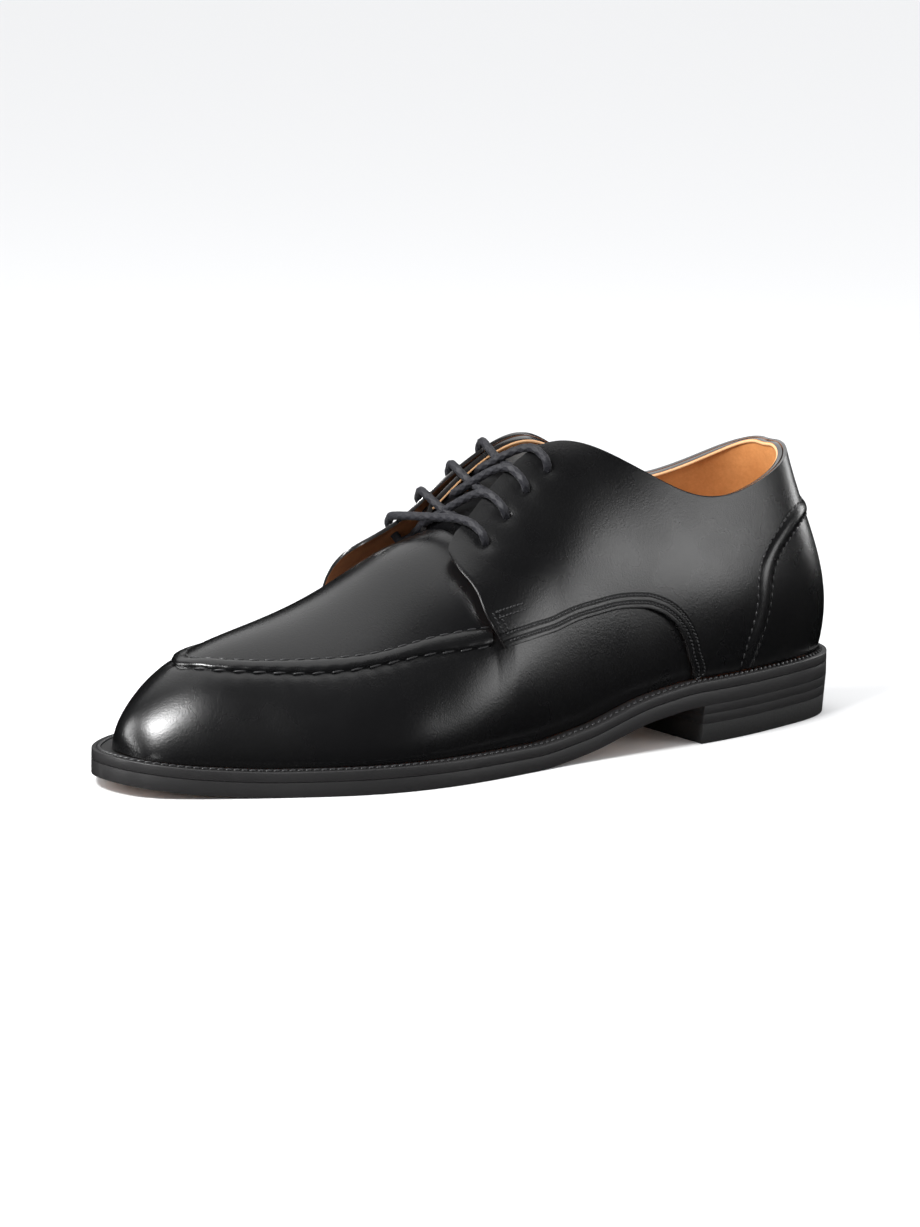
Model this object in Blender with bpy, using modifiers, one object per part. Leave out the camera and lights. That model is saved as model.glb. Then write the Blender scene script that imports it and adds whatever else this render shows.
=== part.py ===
# Left apron toe derby shoe, standing on its sole, built piece by piece round one last.
#
# Frame: the toe points along -X, the lateral side faces -Y, +Z is up, and the floor
# is z = 0. The origin lies on the floor, under the middle of the outsole's length and width.
#
# A place on the upper is a station, 0 at the back of the heel and 1 at the tip of the
# toe, and a height, 0 at the welt and 1 at the crest of that station's half section.
# Tables are in millimetres and degrees. MM turns them into metres.

import math

import bmesh
import bpy
import numpy as np
from mathutils import Matrix, Vector

COLLECTION = "apron_toe_derby"
CUTTERS = "cutters"
MM = 0.001
LATERAL = -1
MEDIAL = 1
SHARP_ANGLE = 45.0

# Sole unit
SOLE_LENGTH = 303.2
SIDE_SHIFT = -0.4
OUTSOLE_THICKNESS = 5.0
WELT_THICKNESS = 3.3
WELT_REACH = 4.0
INSOLE_THICKNESS = 3.9
TOP_LIFT_THICKNESS = 7.0
HEEL_HEIGHT = 14.0
HEEL_TAPER = 1.0
HEEL_BREAST = 0.2688
TOE_DRIFT = 2.0
TOE_DRIFT_START = 0.60

# Upper
GAP = 0.3
WALL = 1.7
PANEL_GAP = 0.45
PANEL_THICKNESS = 1.3
APRON_SEAM_HEIGHT = 1.1
COUNTER_SEAM_HEIGHT = 0.9
PANEL_FOOT = 0.010
JOINT_STATION = 0.0022
JOINT_HEIGHT = 0.010
JOINT_FOOT = 0.0015
BACK_SEAM = 0.0015
THROAT_START = 0.555
THROAT_END = 0.575
FACING_SHARE = 0.82
SIDEWAYS_START = 0.5
SIDEWAYS_SPAN = 0.2
FLAP_LIFT = 1.9
FLAP_START = 0.48
FLAP_END = 0.585
FLAP_STEPS = 6
STEEP_SIDE = (0.160, 0.200)
STEEP_ARCH = (0.272, 0.315)
STEEP_STEPS = 5
STEEP_CLEAR = 0.006
COUNTER_TURN = (0.145, 0.155)
COUNTER_STEPS = 6

# Tongue and lace
TONGUE_THICKNESS = 2.2
TONGUE_GAP = 1.4
TONGUE_CROWN = 2.2
TONGUE_HEIGHTS = (0.80, 0.88, 0.96)
LACE_DIAMETER = 2.8
LACE_CLEARANCE = 0.35
LACE_ARCH = 2.4
LACE_LIP = 0.985
LACE_LIP_RISE = 1.5
LACE_BAR_RISE = 2.2
LACE_CROSS_RISE = 1.0
LACE_UNDER_SHARE = 0.4
LACE_UNDER_SIDE = 0.19
THROAT_SLOPE = 38.0
EYELET_DIAMETER = 3.2
EYELET_REACH = (-4.0, 7.0)

SOLE_COLUMNS = ("station", "lateral", "medial")
SOLE_ROWS = (
    (0.00, 0.0, 0.0),
    (0.02, 16.5, 16.5),
    (0.06, 25.5, 26.5),
    (0.12, 32.0, 33.0),
    (0.20, 38.5, 35.5),
    (0.30, 42.5, 34.0),
    (0.40, 44.0, 31.5),
    (0.50, 47.0, 36.0),
    (0.60, 51.8, 46.5),
    (0.68, 53.0, 52.5),
    (0.76, 49.3, 53.0),
    (0.84, 40.0, 48.0),
    (0.91, 30.6, 38.3),
    (0.96, 22.9, 23.7),
    (0.99, 13.9, 10.8),
    (1.00, 0.0, 0.0),
)

# Height of the outsole's underside: heel seat, arch, flat tread, toe spring
UNDERSIDE_COLUMNS = ("station", "height")
UNDERSIDE_ROWS = (
    (0.000, 14.0),
    (0.269, 13.7),
    (0.341, 11.2),
    (0.448, 2.8),
    (0.525, 0.0),
    (0.680, 0.0),
    (0.840, 0.0),
    (0.920, 1.3),
    (1.000, 4.4),
)

# How each half section leaves the welt: its distance in from the sole's edge, the
# lean outward, and how far that first direction is held
FOOT_COLUMNS = ("station", "in_lateral", "in_medial", "lean_lateral", "lean_medial", "hold")
FOOT_ROWS = (
    (0.00, 5.3, 5.3, 14, 14, 30),
    (0.08, 5.3, 5.3, 14, 14, 29),
    (0.16, 5.5, 5.3, 13, 13, 28),
    (0.26, 5.8, 5.0, 12, 9, 26),
    (0.36, 6.0, 5.0, 14, 6, 24),
    (0.44, 6.0, 5.5, 18, 6, 24),
    (0.50, 6.0, 5.8, 20, 10, 24),
    (0.58, 5.8, 5.8, 22, 15, 22),
    (0.66, 5.5, 5.5, 22, 17, 17),
    (0.74, 5.5, 5.5, 20, 18, 14),
    (0.82, 6.0, 6.0, 16, 16, 12),
    (0.90, 6.5, 6.5, 12, 12, 10),
    (0.96, 6.8, 6.8, 8, 8, 6),
    (1.00, 7.0, 7.0, 0, 0, 0),
)

# Crest of the sections that end at the topline and at the edges of the facings
COLLAR_COLUMNS = ("station", "from_heel", "lateral", "medial", "high_lateral", "high_medial",
                  "slope", "hold")
COLLAR_ROWS = (
    (0.00, 23.5, 0.0, 0.0, 98.5, 98.5, 74, 30),
    (0.03, 24.3, 8.5, 8.5, 98.0, 98.3, 74, 30),
    (0.08, 31.0, 16.8, 16.8, 94.0, 94.6, 74, 28),
    (0.16, 51.0, 23.5, 23.0, 87.0, 87.3, 74, 26),
    (0.26, 78.0, 26.0, 25.0, 86.5, 87.0, 70, 24),
    (0.36, 105.0, 20.5, 20.5, 99.6, 100.0, 60, 24),
    (0.44, 128.5, 11.5, 12.0, 106.2, 105.4, 38, 26),
    (0.50, 146.5, 9.5, 11.0, 96.8, 98.2, 30, 26),
    (0.55, 160.5, 11.0, 14.0, 83.5, 85.5, 27, 25),
    (0.58, 170.0, 12.5, 17.0, 75.5, 76.5, 24, 24),
    (0.64, 190.0, 15.0, 21.0, 66.0, 67.5, 20, 24),
)

# Crest of the sections that close over the vamp and the toe
VAMP_COLUMNS = ("station", "from_heel", "shift", "high", "hold")
VAMP_ROWS = (
    (0.56, 164.0, 1.5, 79.5, 30.0),
    (0.60, 177.0, 2.5, 74.3, 30.0),
    (0.66, 198.0, 3.0, 64.8, 27.0),
    (0.74, 222.5, 3.5, 54.6, 25.0),
    (0.82, 247.0, 3.7, 48.4, 21.5),
    (0.90, 269.5, 3.2, 41.3, 16.5),
    (0.96, 286.5, 2.5, 30.5, 9.0),
    (1.00, 296.5, 2.0, 17.5, 0.0),
)

# Lower edge of the quarters in front of the counter: the foot of the arch, the arch
# and the straight edge that runs to the corner of the flap
ARCH_COLUMNS = ("station", "height")
ARCH_ROWS = (
    (0.272, 0.000),
    (0.277, 0.063),
    (0.284, 0.110),
    (0.291, 0.185),
    (0.302, 0.264),
    (0.315, 0.322),
    (0.330, 0.360),
    (0.356, 0.389),
    (0.395, 0.397),
    (0.435, 0.393),
    (0.482, 0.393),
    (0.525, 0.412),
    (0.570, 0.439),
    (0.640, 0.460),
)

# Front edge of each flap, from its lower corner to the foot of the facing
FLAP_COLUMNS = ("share", "lateral", "medial")
FLAP_ROWS = (
    (0.00, 0.569, 0.612),
    (0.15, 0.579, 0.624),
    (0.30, 0.586, 0.631),
    (0.45, 0.588, 0.632),
    (0.60, 0.591, 0.629),
    (0.75, 0.594, 0.622),
    (0.88, 0.593, 0.610),
    (0.96, 0.587, 0.594),
    (1.00, 0.577, 0.580),
)

# Outer and inner stitch line of the raised seam round the apron, from its end under
# the flap to the tip
APRON_COLUMNS = ("out_station", "out_height", "in_station", "in_height")
APRON_ROWS = (
    (0.582, 0.425, 0.579, 0.488),
    (0.602, 0.438, 0.598, 0.505),
    (0.628, 0.462, 0.622, 0.523),
    (0.662, 0.494, 0.655, 0.548),
    (0.714, 0.523, 0.705, 0.575),
    (0.756, 0.548, 0.745, 0.609),
    (0.798, 0.584, 0.785, 0.652),
    (0.836, 0.640, 0.822, 0.700),
    (0.862, 0.690, 0.846, 0.745),
    (0.884, 0.755, 0.866, 0.803),
    (0.899, 0.835, 0.880, 0.868),
    (0.909, 0.917, 0.891, 0.935),
    (0.913, 1.000, 0.895, 1.000),
)

# Upper and lower stitch line of the raised seam round the counter, from the back of
# the heel to the welt
COUNTER_COLUMNS = ("up_station", "up_height", "low_station", "low_height")
COUNTER_ROWS = (
    (0.000, 0.742, 0.000, 0.668),
    (0.025, 0.752, 0.025, 0.676),
    (0.060, 0.770, 0.055, 0.688),
    (0.095, 0.768, 0.085, 0.675),
    (0.134, 0.707, 0.118, 0.625),
    (0.158, 0.630, 0.140, 0.545),
    (0.172, 0.530, 0.150, 0.440),
    (0.177, 0.400, 0.154, 0.340),
    (0.181, 0.290, 0.160, 0.240),
    (0.188, 0.190, 0.167, 0.150),
    (0.194, 0.096, 0.172, 0.080),
    (0.198, 0.022, 0.176, 0.022),
)

# Free end of the tongue, past the top of the facings: how far its last section moves
# back, how far up, and how much of its width it keeps
TONGUE_END_COLUMNS = ("back", "up", "width")
TONGUE_END_ROWS = (
    (5.0, 2.2, 0.86),
    (11.0, 3.8, 0.72),
    (17.0, 3.2, 0.58),
    (22.0, 0.8, 0.40),
)
TONGUE_STATIONS = (0.600, 0.587, 0.575, 0.555, 0.535, 0.515, 0.495, 0.475, 0.457, 0.440)

# Eyelets, from the foot of the throat up: stations on each side and shared height
EYELET_COLUMNS = ("lateral", "medial", "height")
EYELET_ROWS = (
    (0.560, 0.578, 0.855),
    (0.526, 0.546, 0.862),
    (0.493, 0.510, 0.874),
    (0.461, 0.470, 0.893),
)

MATERIALS = {
    "calf_black": ((0.012, 0.012, 0.013), 0.28),
    "calf_seam": ((0.014, 0.014, 0.015), 0.30),
    "lining_tan": ((0.52, 0.26, 0.10), 0.55),
    "edge_black": ((0.022, 0.022, 0.023), 0.42),
    "sole_tan": ((0.36, 0.19, 0.09), 0.60),
    "rubber_black": ((0.018, 0.018, 0.018), 0.65),
    "lace_black": ((0.016, 0.016, 0.020), 0.75),
}


def columns(names, rows):
    """A table's columns by name, as arrays."""
    return dict(zip(names, np.array(rows, dtype=float).T))


SOLE = columns(SOLE_COLUMNS, SOLE_ROWS)
UNDERSIDE = columns(UNDERSIDE_COLUMNS, UNDERSIDE_ROWS)
FOOT = columns(FOOT_COLUMNS, FOOT_ROWS)
COLLAR = columns(COLLAR_COLUMNS, COLLAR_ROWS)
VAMP = columns(VAMP_COLUMNS, VAMP_ROWS)
ARCH = columns(ARCH_COLUMNS, ARCH_ROWS)
FLAP = columns(FLAP_COLUMNS, FLAP_ROWS)
APRON = columns(APRON_COLUMNS, APRON_ROWS)
COUNTER = columns(COUNTER_COLUMNS, COUNTER_ROWS)
TONGUE_END = columns(TONGUE_END_COLUMNS, TONGUE_END_ROWS)
EYELET = columns(EYELET_COLUMNS, EYELET_ROWS)


# Curves through tables

def spline(knots, values, at, flat_ends=False):
    """Cubic spline through the rows. Flat ends leave with no slope, others with no bend."""
    count = len(knots)
    steps = np.diff(knots)
    slopes = np.diff(values) / steps
    system = np.zeros((count, count))
    target = np.zeros(count)
    for i in range(1, count - 1):
        system[i, i - 1] = steps[i - 1]
        system[i, i] = 2 * (steps[i - 1] + steps[i])
        system[i, i + 1] = steps[i]
        target[i] = 6 * (slopes[i] - slopes[i - 1])
    system[0, 0] = system[-1, -1] = 1.0
    if flat_ends:
        system[0, :2] = 2 * steps[0], steps[0]
        system[-1, -2:] = steps[-1], 2 * steps[-1]
        target[0] = 6 * slopes[0]
        target[-1] = -6 * slopes[-1]
    bends = np.linalg.solve(system, target)
    at = np.asarray(at, dtype=float)
    cell = np.clip(np.searchsorted(knots, at) - 1, 0, count - 2)
    width = steps[cell]
    right = (at - knots[cell]) / width
    left = 1 - right
    bend = (left ** 3 - left) * bends[cell] + (right ** 3 - right) * bends[cell + 1]
    return left * values[cell] + right * values[cell + 1] + bend * width ** 2 / 6


def steady(knots, values, at):
    """Curve through the rows that never overshoots one."""
    steps = np.diff(knots)
    slopes = np.diff(values) / steps
    same_way = slopes[:-1] * slopes[1:] > 0
    safe = np.where(same_way, slopes[:-1] + slopes[1:], 1.0)
    inner = np.where(same_way, 2 * slopes[:-1] * slopes[1:] / safe, 0.0)
    tangents = np.concatenate([[slopes[0]], inner, [slopes[-1]]])
    at = np.clip(np.asarray(at, dtype=float), knots[0], knots[-1])
    cell = np.clip(np.searchsorted(knots, at) - 1, 0, len(knots) - 2)
    width = steps[cell]
    t = (at - knots[cell]) / width
    rise = values[cell + 1] - values[cell]
    bulge = (1 - t) * (tangents[cell] * width - rise) - t * (tangents[cell + 1] * width - rise)
    return values[cell] + t * rise + t * (1 - t) * bulge


def turn(station):
    """Station as a share of the half turn round the sole, which rounds both ends."""
    return np.arccos(1 - 2 * np.clip(station, 0.0, 1.0)) / math.pi


def station_of(turned):
    return (1 - np.cos(math.pi * np.clip(turned, 0.0, 1.0))) / 2


def lookup(table, name, station, flat_ends=True):
    return spline(turn(table["station"]), table[name], turn(station), flat_ends)


# Sole

def side_name(side):
    return "lateral" if side == LATERAL else "medial"


def sole_edge(station, side):
    """Distance from the back of the heel and sideways place of the sole's edge."""
    station = np.asarray(station, dtype=float)
    half = np.clip(lookup(SOLE, side_name(side), station, flat_ends=False), 0.0, None)
    ahead = np.clip((station - TOE_DRIFT_START) / (1 - TOE_DRIFT_START), 0.0, 1.0)
    return station * SOLE_LENGTH, side * half + TOE_DRIFT * ahead ** 1.5


def edge_normal(station, side):
    """Outward direction of the sole's edge, in the plan."""
    reach = 0.001
    turned = turn(station)
    x0, y0 = sole_edge(station_of(turned - reach), side)
    x1, y1 = sole_edge(station_of(turned + reach), side)
    length = np.hypot(x1 - x0, y1 - y0)
    nx = -side * (y1 - y0) / length
    ny = side * (x1 - x0) / length
    at_end = (turned <= 0.0) | (turned >= 1.0)
    return np.where(at_end, np.sign(nx), nx), np.where(at_end, 0.0, ny)


def inset_edge(station, side, distance):
    x, y = sole_edge(station, side)
    nx, ny = edge_normal(station, side)
    return x - nx * distance, y - ny * distance


def underside(station):
    return steady(UNDERSIDE["station"], UNDERSIDE["height"], station)


def welt_top(station):
    return underside(station) + OUTSOLE_THICKNESS + GAP + WELT_THICKNESS


# Upper

def smooth_step(value):
    value = np.clip(value, 0.0, 1.0)
    return value * value * (3 - 2 * value)


def crest(station, side, closed):
    """Crest point of a half section, its slope below level and its hold."""
    station = np.asarray(station, dtype=float)
    if closed:
        x = lookup(VAMP, "from_heel", station)
        y = lookup(VAMP, "shift", station)
        z = lookup(VAMP, "high", station, flat_ends=False)
        return x, y, z, np.zeros_like(station), lookup(VAMP, "hold", station, flat_ends=False)
    name = side_name(side)
    x = lookup(COLLAR, "from_heel", station)
    y = side * lookup(COLLAR, name, station, flat_ends=False)
    z = lookup(COLLAR, "high_" + name, station)
    slope = np.radians(lookup(COLLAR, "slope", station))
    return x, y, z, slope, lookup(COLLAR, "hold", station)


def last_surface(station, height, side, closed):
    """Point of the upper's outside, in millimetres from the back of the heel."""
    station, height = np.broadcast_arrays(np.asarray(station, float), np.asarray(height, float))
    name = side_name(side)
    inward = lookup(FOOT, "in_" + name, station)
    foot_x, foot_y = inset_edge(station, side, inward)
    foot_z = welt_top(foot_x / SOLE_LENGTH) + GAP
    nx, ny = edge_normal(station, side)
    across = smooth_step((station - SIDEWAYS_START) / SIDEWAYS_SPAN)
    out_x = nx * (1 - across)
    out_y = ny * (1 - across) + side * across
    length = np.hypot(out_x, out_y)
    out_x = out_x / length
    out_y = out_y / length
    lean = np.radians(lookup(FOOT, "lean_" + name, station))
    hold = lookup(FOOT, "hold", station, flat_ends=False)
    crest_x, crest_y, crest_z, slope, crest_hold = crest(station, side, closed)
    foot = np.stack([foot_x, foot_y, foot_z], -1)
    top = np.stack([crest_x, crest_y, crest_z], -1)
    rise = np.stack([out_x * np.sin(lean), out_y * np.sin(lean), np.cos(lean)], -1)
    fall = np.stack([out_x * np.cos(slope), out_y * np.cos(slope), -np.sin(slope)], -1)
    low_pull = foot + rise * hold[..., None]
    high_pull = top + fall * crest_hold[..., None]
    v = height[..., None]
    return (foot * (1 - v) ** 3 + 3 * low_pull * v * (1 - v) ** 2
            + 3 * high_pull * v * v * (1 - v) + top * v ** 3)


def upper_point(station, height, side, closed, lift):
    """The same point, moved out along the surface's normal by lift."""
    reach = 0.002
    turned = np.clip(turn(station), reach, 1 - reach)
    level = np.clip(height, reach, 1 - reach)
    ahead = last_surface(station_of(turned + reach), level, side, closed)
    behind = last_surface(station_of(turned - reach), level, side, closed)
    above = last_surface(station_of(turned), level + reach, side, closed)
    below = last_surface(station_of(turned), level - reach, side, closed)
    normal = side * np.cross(above - below, ahead - behind)
    on_middle = (np.asarray(station) <= 0.0) | (np.asarray(station) >= 1.0)
    if closed:
        on_middle = on_middle | (np.asarray(height) >= 1.0)
    normal[..., 1] = np.where(on_middle, 0.0, normal[..., 1])
    normal = normal / np.linalg.norm(normal, axis=-1, keepdims=True)
    lift = np.broadcast_to(np.asarray(lift, float), normal.shape[:-1])
    return last_surface(station, height, side, closed) + normal * lift[..., None]


# Meshes

def to_metres(points):
    """Millimetres from the back of the heel to metres in the part's frame."""
    points = np.asarray(points, dtype=float)
    placed = points * MM
    placed[..., 0] = (SOLE_LENGTH / 2 - points[..., 0]) * MM
    placed[..., 1] = (points[..., 1] + SIDE_SHIFT) * MM
    return placed


def new_object(name, mesh, material):
    colour, roughness = MATERIALS[material]
    finish = bpy.data.materials.get(material) or bpy.data.materials.new(material)
    finish.use_nodes = True
    shader = finish.node_tree.nodes["Principled BSDF"]
    shader.inputs["Base Color"].default_value = (*colour, 1.0)
    shader.inputs["Roughness"].default_value = roughness
    shader.inputs["Metallic"].default_value = 0.0
    mesh.materials.append(finish)
    piece = bpy.data.objects.new(name, mesh)
    bpy.data.collections[COLLECTION].objects.link(piece)
    return piece


def grid_mesh(name, points, keep=None):
    """Grid bent to a table of points, with meeting edges welded and open ends filled."""
    rows, across = points.shape[:2]
    placed = to_metres(points)
    bm = bmesh.new()
    bmesh.ops.create_grid(bm, x_segments=rows - 1, y_segments=across - 1, size=1.0)
    cells = {}
    for vert in bm.verts:
        i = round((vert.co.x + 1) / 2 * (rows - 1))
        j = round((vert.co.y + 1) / 2 * (across - 1))
        cells[vert] = (i, j)
    if keep is not None:
        spare = [f for f in bm.faces if not all(keep[cells[v]] for v in f.verts)]
        bmesh.ops.delete(bm, geom=spare, context="FACES")
    for vert in bm.verts:
        vert.co = placed[cells[vert]]
    bmesh.ops.remove_doubles(bm, verts=bm.verts, dist=0.00002)
    bmesh.ops.dissolve_degenerate(bm, edges=bm.edges, dist=0.000005)
    return bm


def solid_from_loops(name, loops, material):
    """Closed solid through rings of points, each ring one closed section."""
    closed = np.concatenate([loops, loops[:, :1]], axis=1)
    bm = grid_mesh(name, closed)
    open_edges = [e for e in bm.edges if e.is_boundary]
    if open_edges:
        bmesh.ops.holes_fill(bm, edges=open_edges)
    bmesh.ops.recalc_face_normals(bm, faces=bm.faces)
    if bm.calc_volume(signed=True) < 0:
        bmesh.ops.reverse_faces(bm, faces=bm.faces)
    mesh = bpy.data.meshes.new(name)
    bm.to_mesh(mesh)
    bm.free()
    mesh.shade_smooth()
    mesh.set_sharp_from_angle(angle=math.radians(SHARP_ANGLE))
    return new_object(name, mesh, material)


def shell(name, points, thickness, material, keep=None):
    """Sheet through the middle of a wall, thickened evenly to both sides."""
    bm = grid_mesh(name, points, keep)
    bmesh.ops.recalc_face_normals(bm, faces=bm.faces)
    mesh = bpy.data.meshes.new(name)
    bm.to_mesh(mesh)
    bm.free()
    mesh.shade_smooth()
    mesh.set_sharp_from_angle(angle=math.radians(SHARP_ANGLE))
    piece = new_object(name, mesh, material)
    wall = piece.modifiers.new("Wall", "SOLIDIFY")
    wall.thickness = thickness * MM
    wall.offset = 0.0
    wall.use_even_offset = True
    wall.use_rim = True
    return piece


# Sole pieces

def slab(name, stations, inset, low, high, material, across=2):
    """Layer of the sole between two heights, right across from edge to edge."""
    shares = np.linspace(0.0, 1.0, across + 1)
    rings = []
    for station in stations:
        lat_x, lat_y = inset_edge(station, LATERAL, inset(station))
        med_x, med_y = inset_edge(station, MEDIAL, inset(station))
        line = np.stack([lat_x + (med_x - lat_x) * shares, lat_y + (med_y - lat_y) * shares], -1)
        floor = np.column_stack([line, low(line[:, 0] / SOLE_LENGTH)])
        roof = np.column_stack([line, high(line[:, 0] / SOLE_LENGTH)])[::-1]
        rings.append(np.concatenate([floor, roof]))
    return solid_from_loops(name, np.array(rings), material)


def spread(count, first=0.0, last=1.0):
    """Stations that crowd towards both ends of the shoe."""
    return station_of(np.linspace(turn(first), turn(last), count))


def make_outsole():
    def top(station):
        return underside(station) + OUTSOLE_THICKNESS
    return slab("outsole", spread(46), lambda s: 0.0, underside, top, "edge_black")


def make_insole():
    def low(station):
        return underside(station) + OUTSOLE_THICKNESS + GAP

    def high(station):
        return low(station) + INSOLE_THICKNESS

    def inset(station):
        return float(lookup(FOOT, "in_medial", station)) + WELT_REACH + GAP
    return slab("insole", spread(34), inset, low, high, "lining_tan")


def heel_piece(name, low, high, material):
    """Layer of the heel from the back to the breast, with the heel's taper."""
    stations = spread(14, 0.0, HEEL_BREAST)
    shares = np.linspace(0.0, 1.0, 4)
    rings = []
    for station in stations:
        ring = []
        for height, order in ((low, 1), (high, -1)):
            inset = HEEL_TAPER * (1 - height / HEEL_HEIGHT)
            lat_x, lat_y = inset_edge(station, LATERAL, inset)
            med_x, med_y = inset_edge(station, MEDIAL, inset)
            level = height if order > 0 else min(height, float(underside(station)) - GAP)
            for share in shares[::order]:
                ring.append((lat_x + (med_x - lat_x) * share, lat_y + (med_y - lat_y) * share, level))
        rings.append(ring)
    return solid_from_loops(name, np.array(rings), material)


def make_heel():
    heel_piece("top_lift", 0.0, TOP_LIFT_THICKNESS, "rubber_black")
    heel_piece("heel_stack", TOP_LIFT_THICKNESS + GAP, HEEL_HEIGHT, "edge_black")


def make_welt():
    """Strip right round the shoe, under the upper's edge and out to the sole's edge."""
    rings = []
    half = spread(42)
    for side, stations in ((LATERAL, half), (MEDIAL, half[::-1])):
        for station in stations:
            reach = float(lookup(FOOT, "in_medial", station)) + WELT_REACH
            ring = []
            for inset, thickness in ((0.0, 0.0), (0.0, 1.0), (reach, 1.0), (reach, 0.0)):
                x, y = inset_edge(station, side, inset)
                low = underside(x / SOLE_LENGTH) + OUTSOLE_THICKNESS + GAP
                ring.append((x, y, low + WELT_THICKNESS * thickness))
            rings.append(ring)
    return solid_from_loops("welt", np.array(rings), "edge_black")


# Upper pieces

def rear_stations():
    return spread(25, 0.0, THROAT_START)


def make_upper():
    """Lining and vamp in one wall, open at the collar, the throat and underneath."""
    rear = rear_stations()
    front = spread(18, THROAT_END, 1.0)
    side_heights = np.linspace(0.0, 1.0, 10)
    middle_heights = np.linspace(FACING_SHARE, 1.0, 4)
    lift = -WALL / 2
    closed_heights = np.concatenate([side_heights * FACING_SHARE, middle_heights[1:]])
    outer = len(side_heights)
    inner = len(middle_heights) - 1
    across = 2 * (outer + inner) - 1
    points = np.zeros((len(rear) + len(front), across, 3))
    keep = np.ones((len(rear) + len(front), across), dtype=bool)
    keep[:len(rear), outer:across - outer] = False
    for i, station in enumerate(rear):
        lateral = upper_point(np.full(outer, station), side_heights, LATERAL, False, lift)
        medial = upper_point(np.full(outer, station), side_heights, MEDIAL, False, lift)
        points[i, :outer] = lateral
        points[i, across - outer:] = medial[::-1]
    for i, station in enumerate(front):
        many = np.full(outer + inner, station)
        lateral = upper_point(many, closed_heights, LATERAL, True, lift)
        medial = upper_point(many, closed_heights, MEDIAL, True, lift)
        points[len(rear) + i, :outer + inner] = lateral
        points[len(rear) + i, across - outer - inner:] = medial[::-1]
    return shell("upper", points, WALL, "calf_black", keep)


def counter_edge(shift):
    """Stations and heights of the joint between counter and quarter, under the seam."""
    station = (COUNTER["up_station"] + COUNTER["low_station"]) / 2 + shift * JOINT_STATION
    height = (COUNTER["up_height"] + COUNTER["low_height"]) / 2 + shift * JOINT_HEIGHT
    return station, height


def quarter_floor(station):
    """Lower edge of a quarter: over the counter, down to the welt, then up the arch."""
    edge_station, edge_height = counter_edge(1.0)
    edge_station = np.append(edge_station, edge_station[-1] + JOINT_FOOT)
    edge_height = np.append(edge_height, 0.0)
    back = np.interp(station, edge_station, edge_height)
    arch = steady(ARCH["station"], ARCH["height"], station)
    floor = np.where(station < ARCH["station"][0], 0.0, arch)
    return np.maximum(np.where(station < edge_station[-1], back, floor), PANEL_FOOT)


def quarter_stations():
    """The wall's own stations, with more where the quarter's lower edge is steep."""
    wall = rear_stations()[1:]
    wall = wall[wall < FLAP_START]
    side = np.linspace(*STEEP_SIDE, STEEP_STEPS)
    steep = np.concatenate([side, np.linspace(*STEEP_ARCH, STEEP_STEPS)])
    clear = [s for s in wall if np.abs(steep - s).min() > STEEP_CLEAR]
    flap = np.linspace(FLAP_START, FLAP_END, FLAP_STEPS)
    return np.sort(np.concatenate([[station_of(BACK_SEAM)], clear, steep, flap]))


def make_quarter(side):
    heights = np.linspace(0.0, 1.0, 9)
    front = spline(FLAP["share"], FLAP[side_name(side)], heights)
    points = []
    for station in quarter_stations():
        ahead = max(0.0, (station - FLAP_START) / (FLAP_END - FLAP_START))
        along = station + (front - FLAP_END) * ahead
        floor = quarter_floor(along)
        level = floor + (1 - floor) * heights
        lift = PANEL_GAP + PANEL_THICKNESS / 2 + FLAP_LIFT * smooth_step(ahead)
        points.append(upper_point(along, level, side, False, lift))
    name = "quarter_" + side_name(side)
    return shell(name, np.array(points), PANEL_THICKNESS, "calf_black")


def make_counter():
    """Panel round the heel, from the welt up to the raised seam."""
    edge_station, edge_height = counter_edge(-1.0)
    edge_station = np.maximum.accumulate(edge_station)
    wall = rear_stations()
    steep = np.linspace(COUNTER_TURN[1], edge_station[-1], COUNTER_STEPS)
    half = np.concatenate([wall[wall < COUNTER_TURN[0]], steep])
    heights = np.linspace(0.0, 1.0, 7)
    lift = PANEL_GAP + PANEL_THICKNESS / 2
    points = []
    for side, stations in ((LATERAL, half[::-1]), (MEDIAL, half[1:])):
        for station in stations:
            top = float(np.interp(station, edge_station, edge_height))
            level = PANEL_FOOT + (top - PANEL_FOOT) * heights
            points.append(upper_point(np.full_like(level, station), level, side, False, lift))
    return shell("heel_counter", np.array(points), PANEL_THICKNESS, "calf_black")


def seam_rings(table, names, per_row, closed, base, height, sides=6):
    """Rings of a low rounded ridge between two stitch lines, on both sides of the shoe."""
    rows = np.arange(len(table[names[0]]), dtype=float)
    fine = np.linspace(0.0, rows[-1], int(rows[-1] * per_row) + 1)
    turned = {name: turn(table[name]) if "station" in name else table[name] for name in names}
    lines = [spline(rows, turned[name], fine) for name in names]
    angles = np.linspace(0.0, 2 * math.pi, sides, endpoint=False)
    across = 0.5 - 0.5 * np.cos(angles)
    proud = base + height * np.clip(np.sin(angles), 0.0, None)
    halves = []
    for side in (LATERAL, MEDIAL):
        rings = []
        for turn_a, height_a, turn_b, height_b in zip(*lines):
            station = station_of(turn_a + (turn_b - turn_a) * across)
            level = np.minimum(height_a + (height_b - height_a) * across, 1.0)
            rings.append(upper_point(station, level, side, closed, proud))
        halves.append(rings)
    return halves


def make_apron_seam():
    names = ("out_station", "out_height", "in_station", "in_height")
    lateral, medial = seam_rings(APRON, names, 2, True, GAP, APRON_SEAM_HEIGHT)
    return solid_from_loops("apron_seam", np.array(lateral + medial[-2::-1]), "calf_seam")


def make_counter_seam():
    names = ("low_station", "low_height", "up_station", "up_height")
    base = PANEL_GAP + PANEL_THICKNESS + GAP
    lateral, medial = seam_rings(COUNTER, names, 2, False, base, COUNTER_SEAM_HEIGHT)
    return solid_from_loops("counter_seam", np.array(lateral[::-1] + medial[1:]), "calf_seam")


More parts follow.
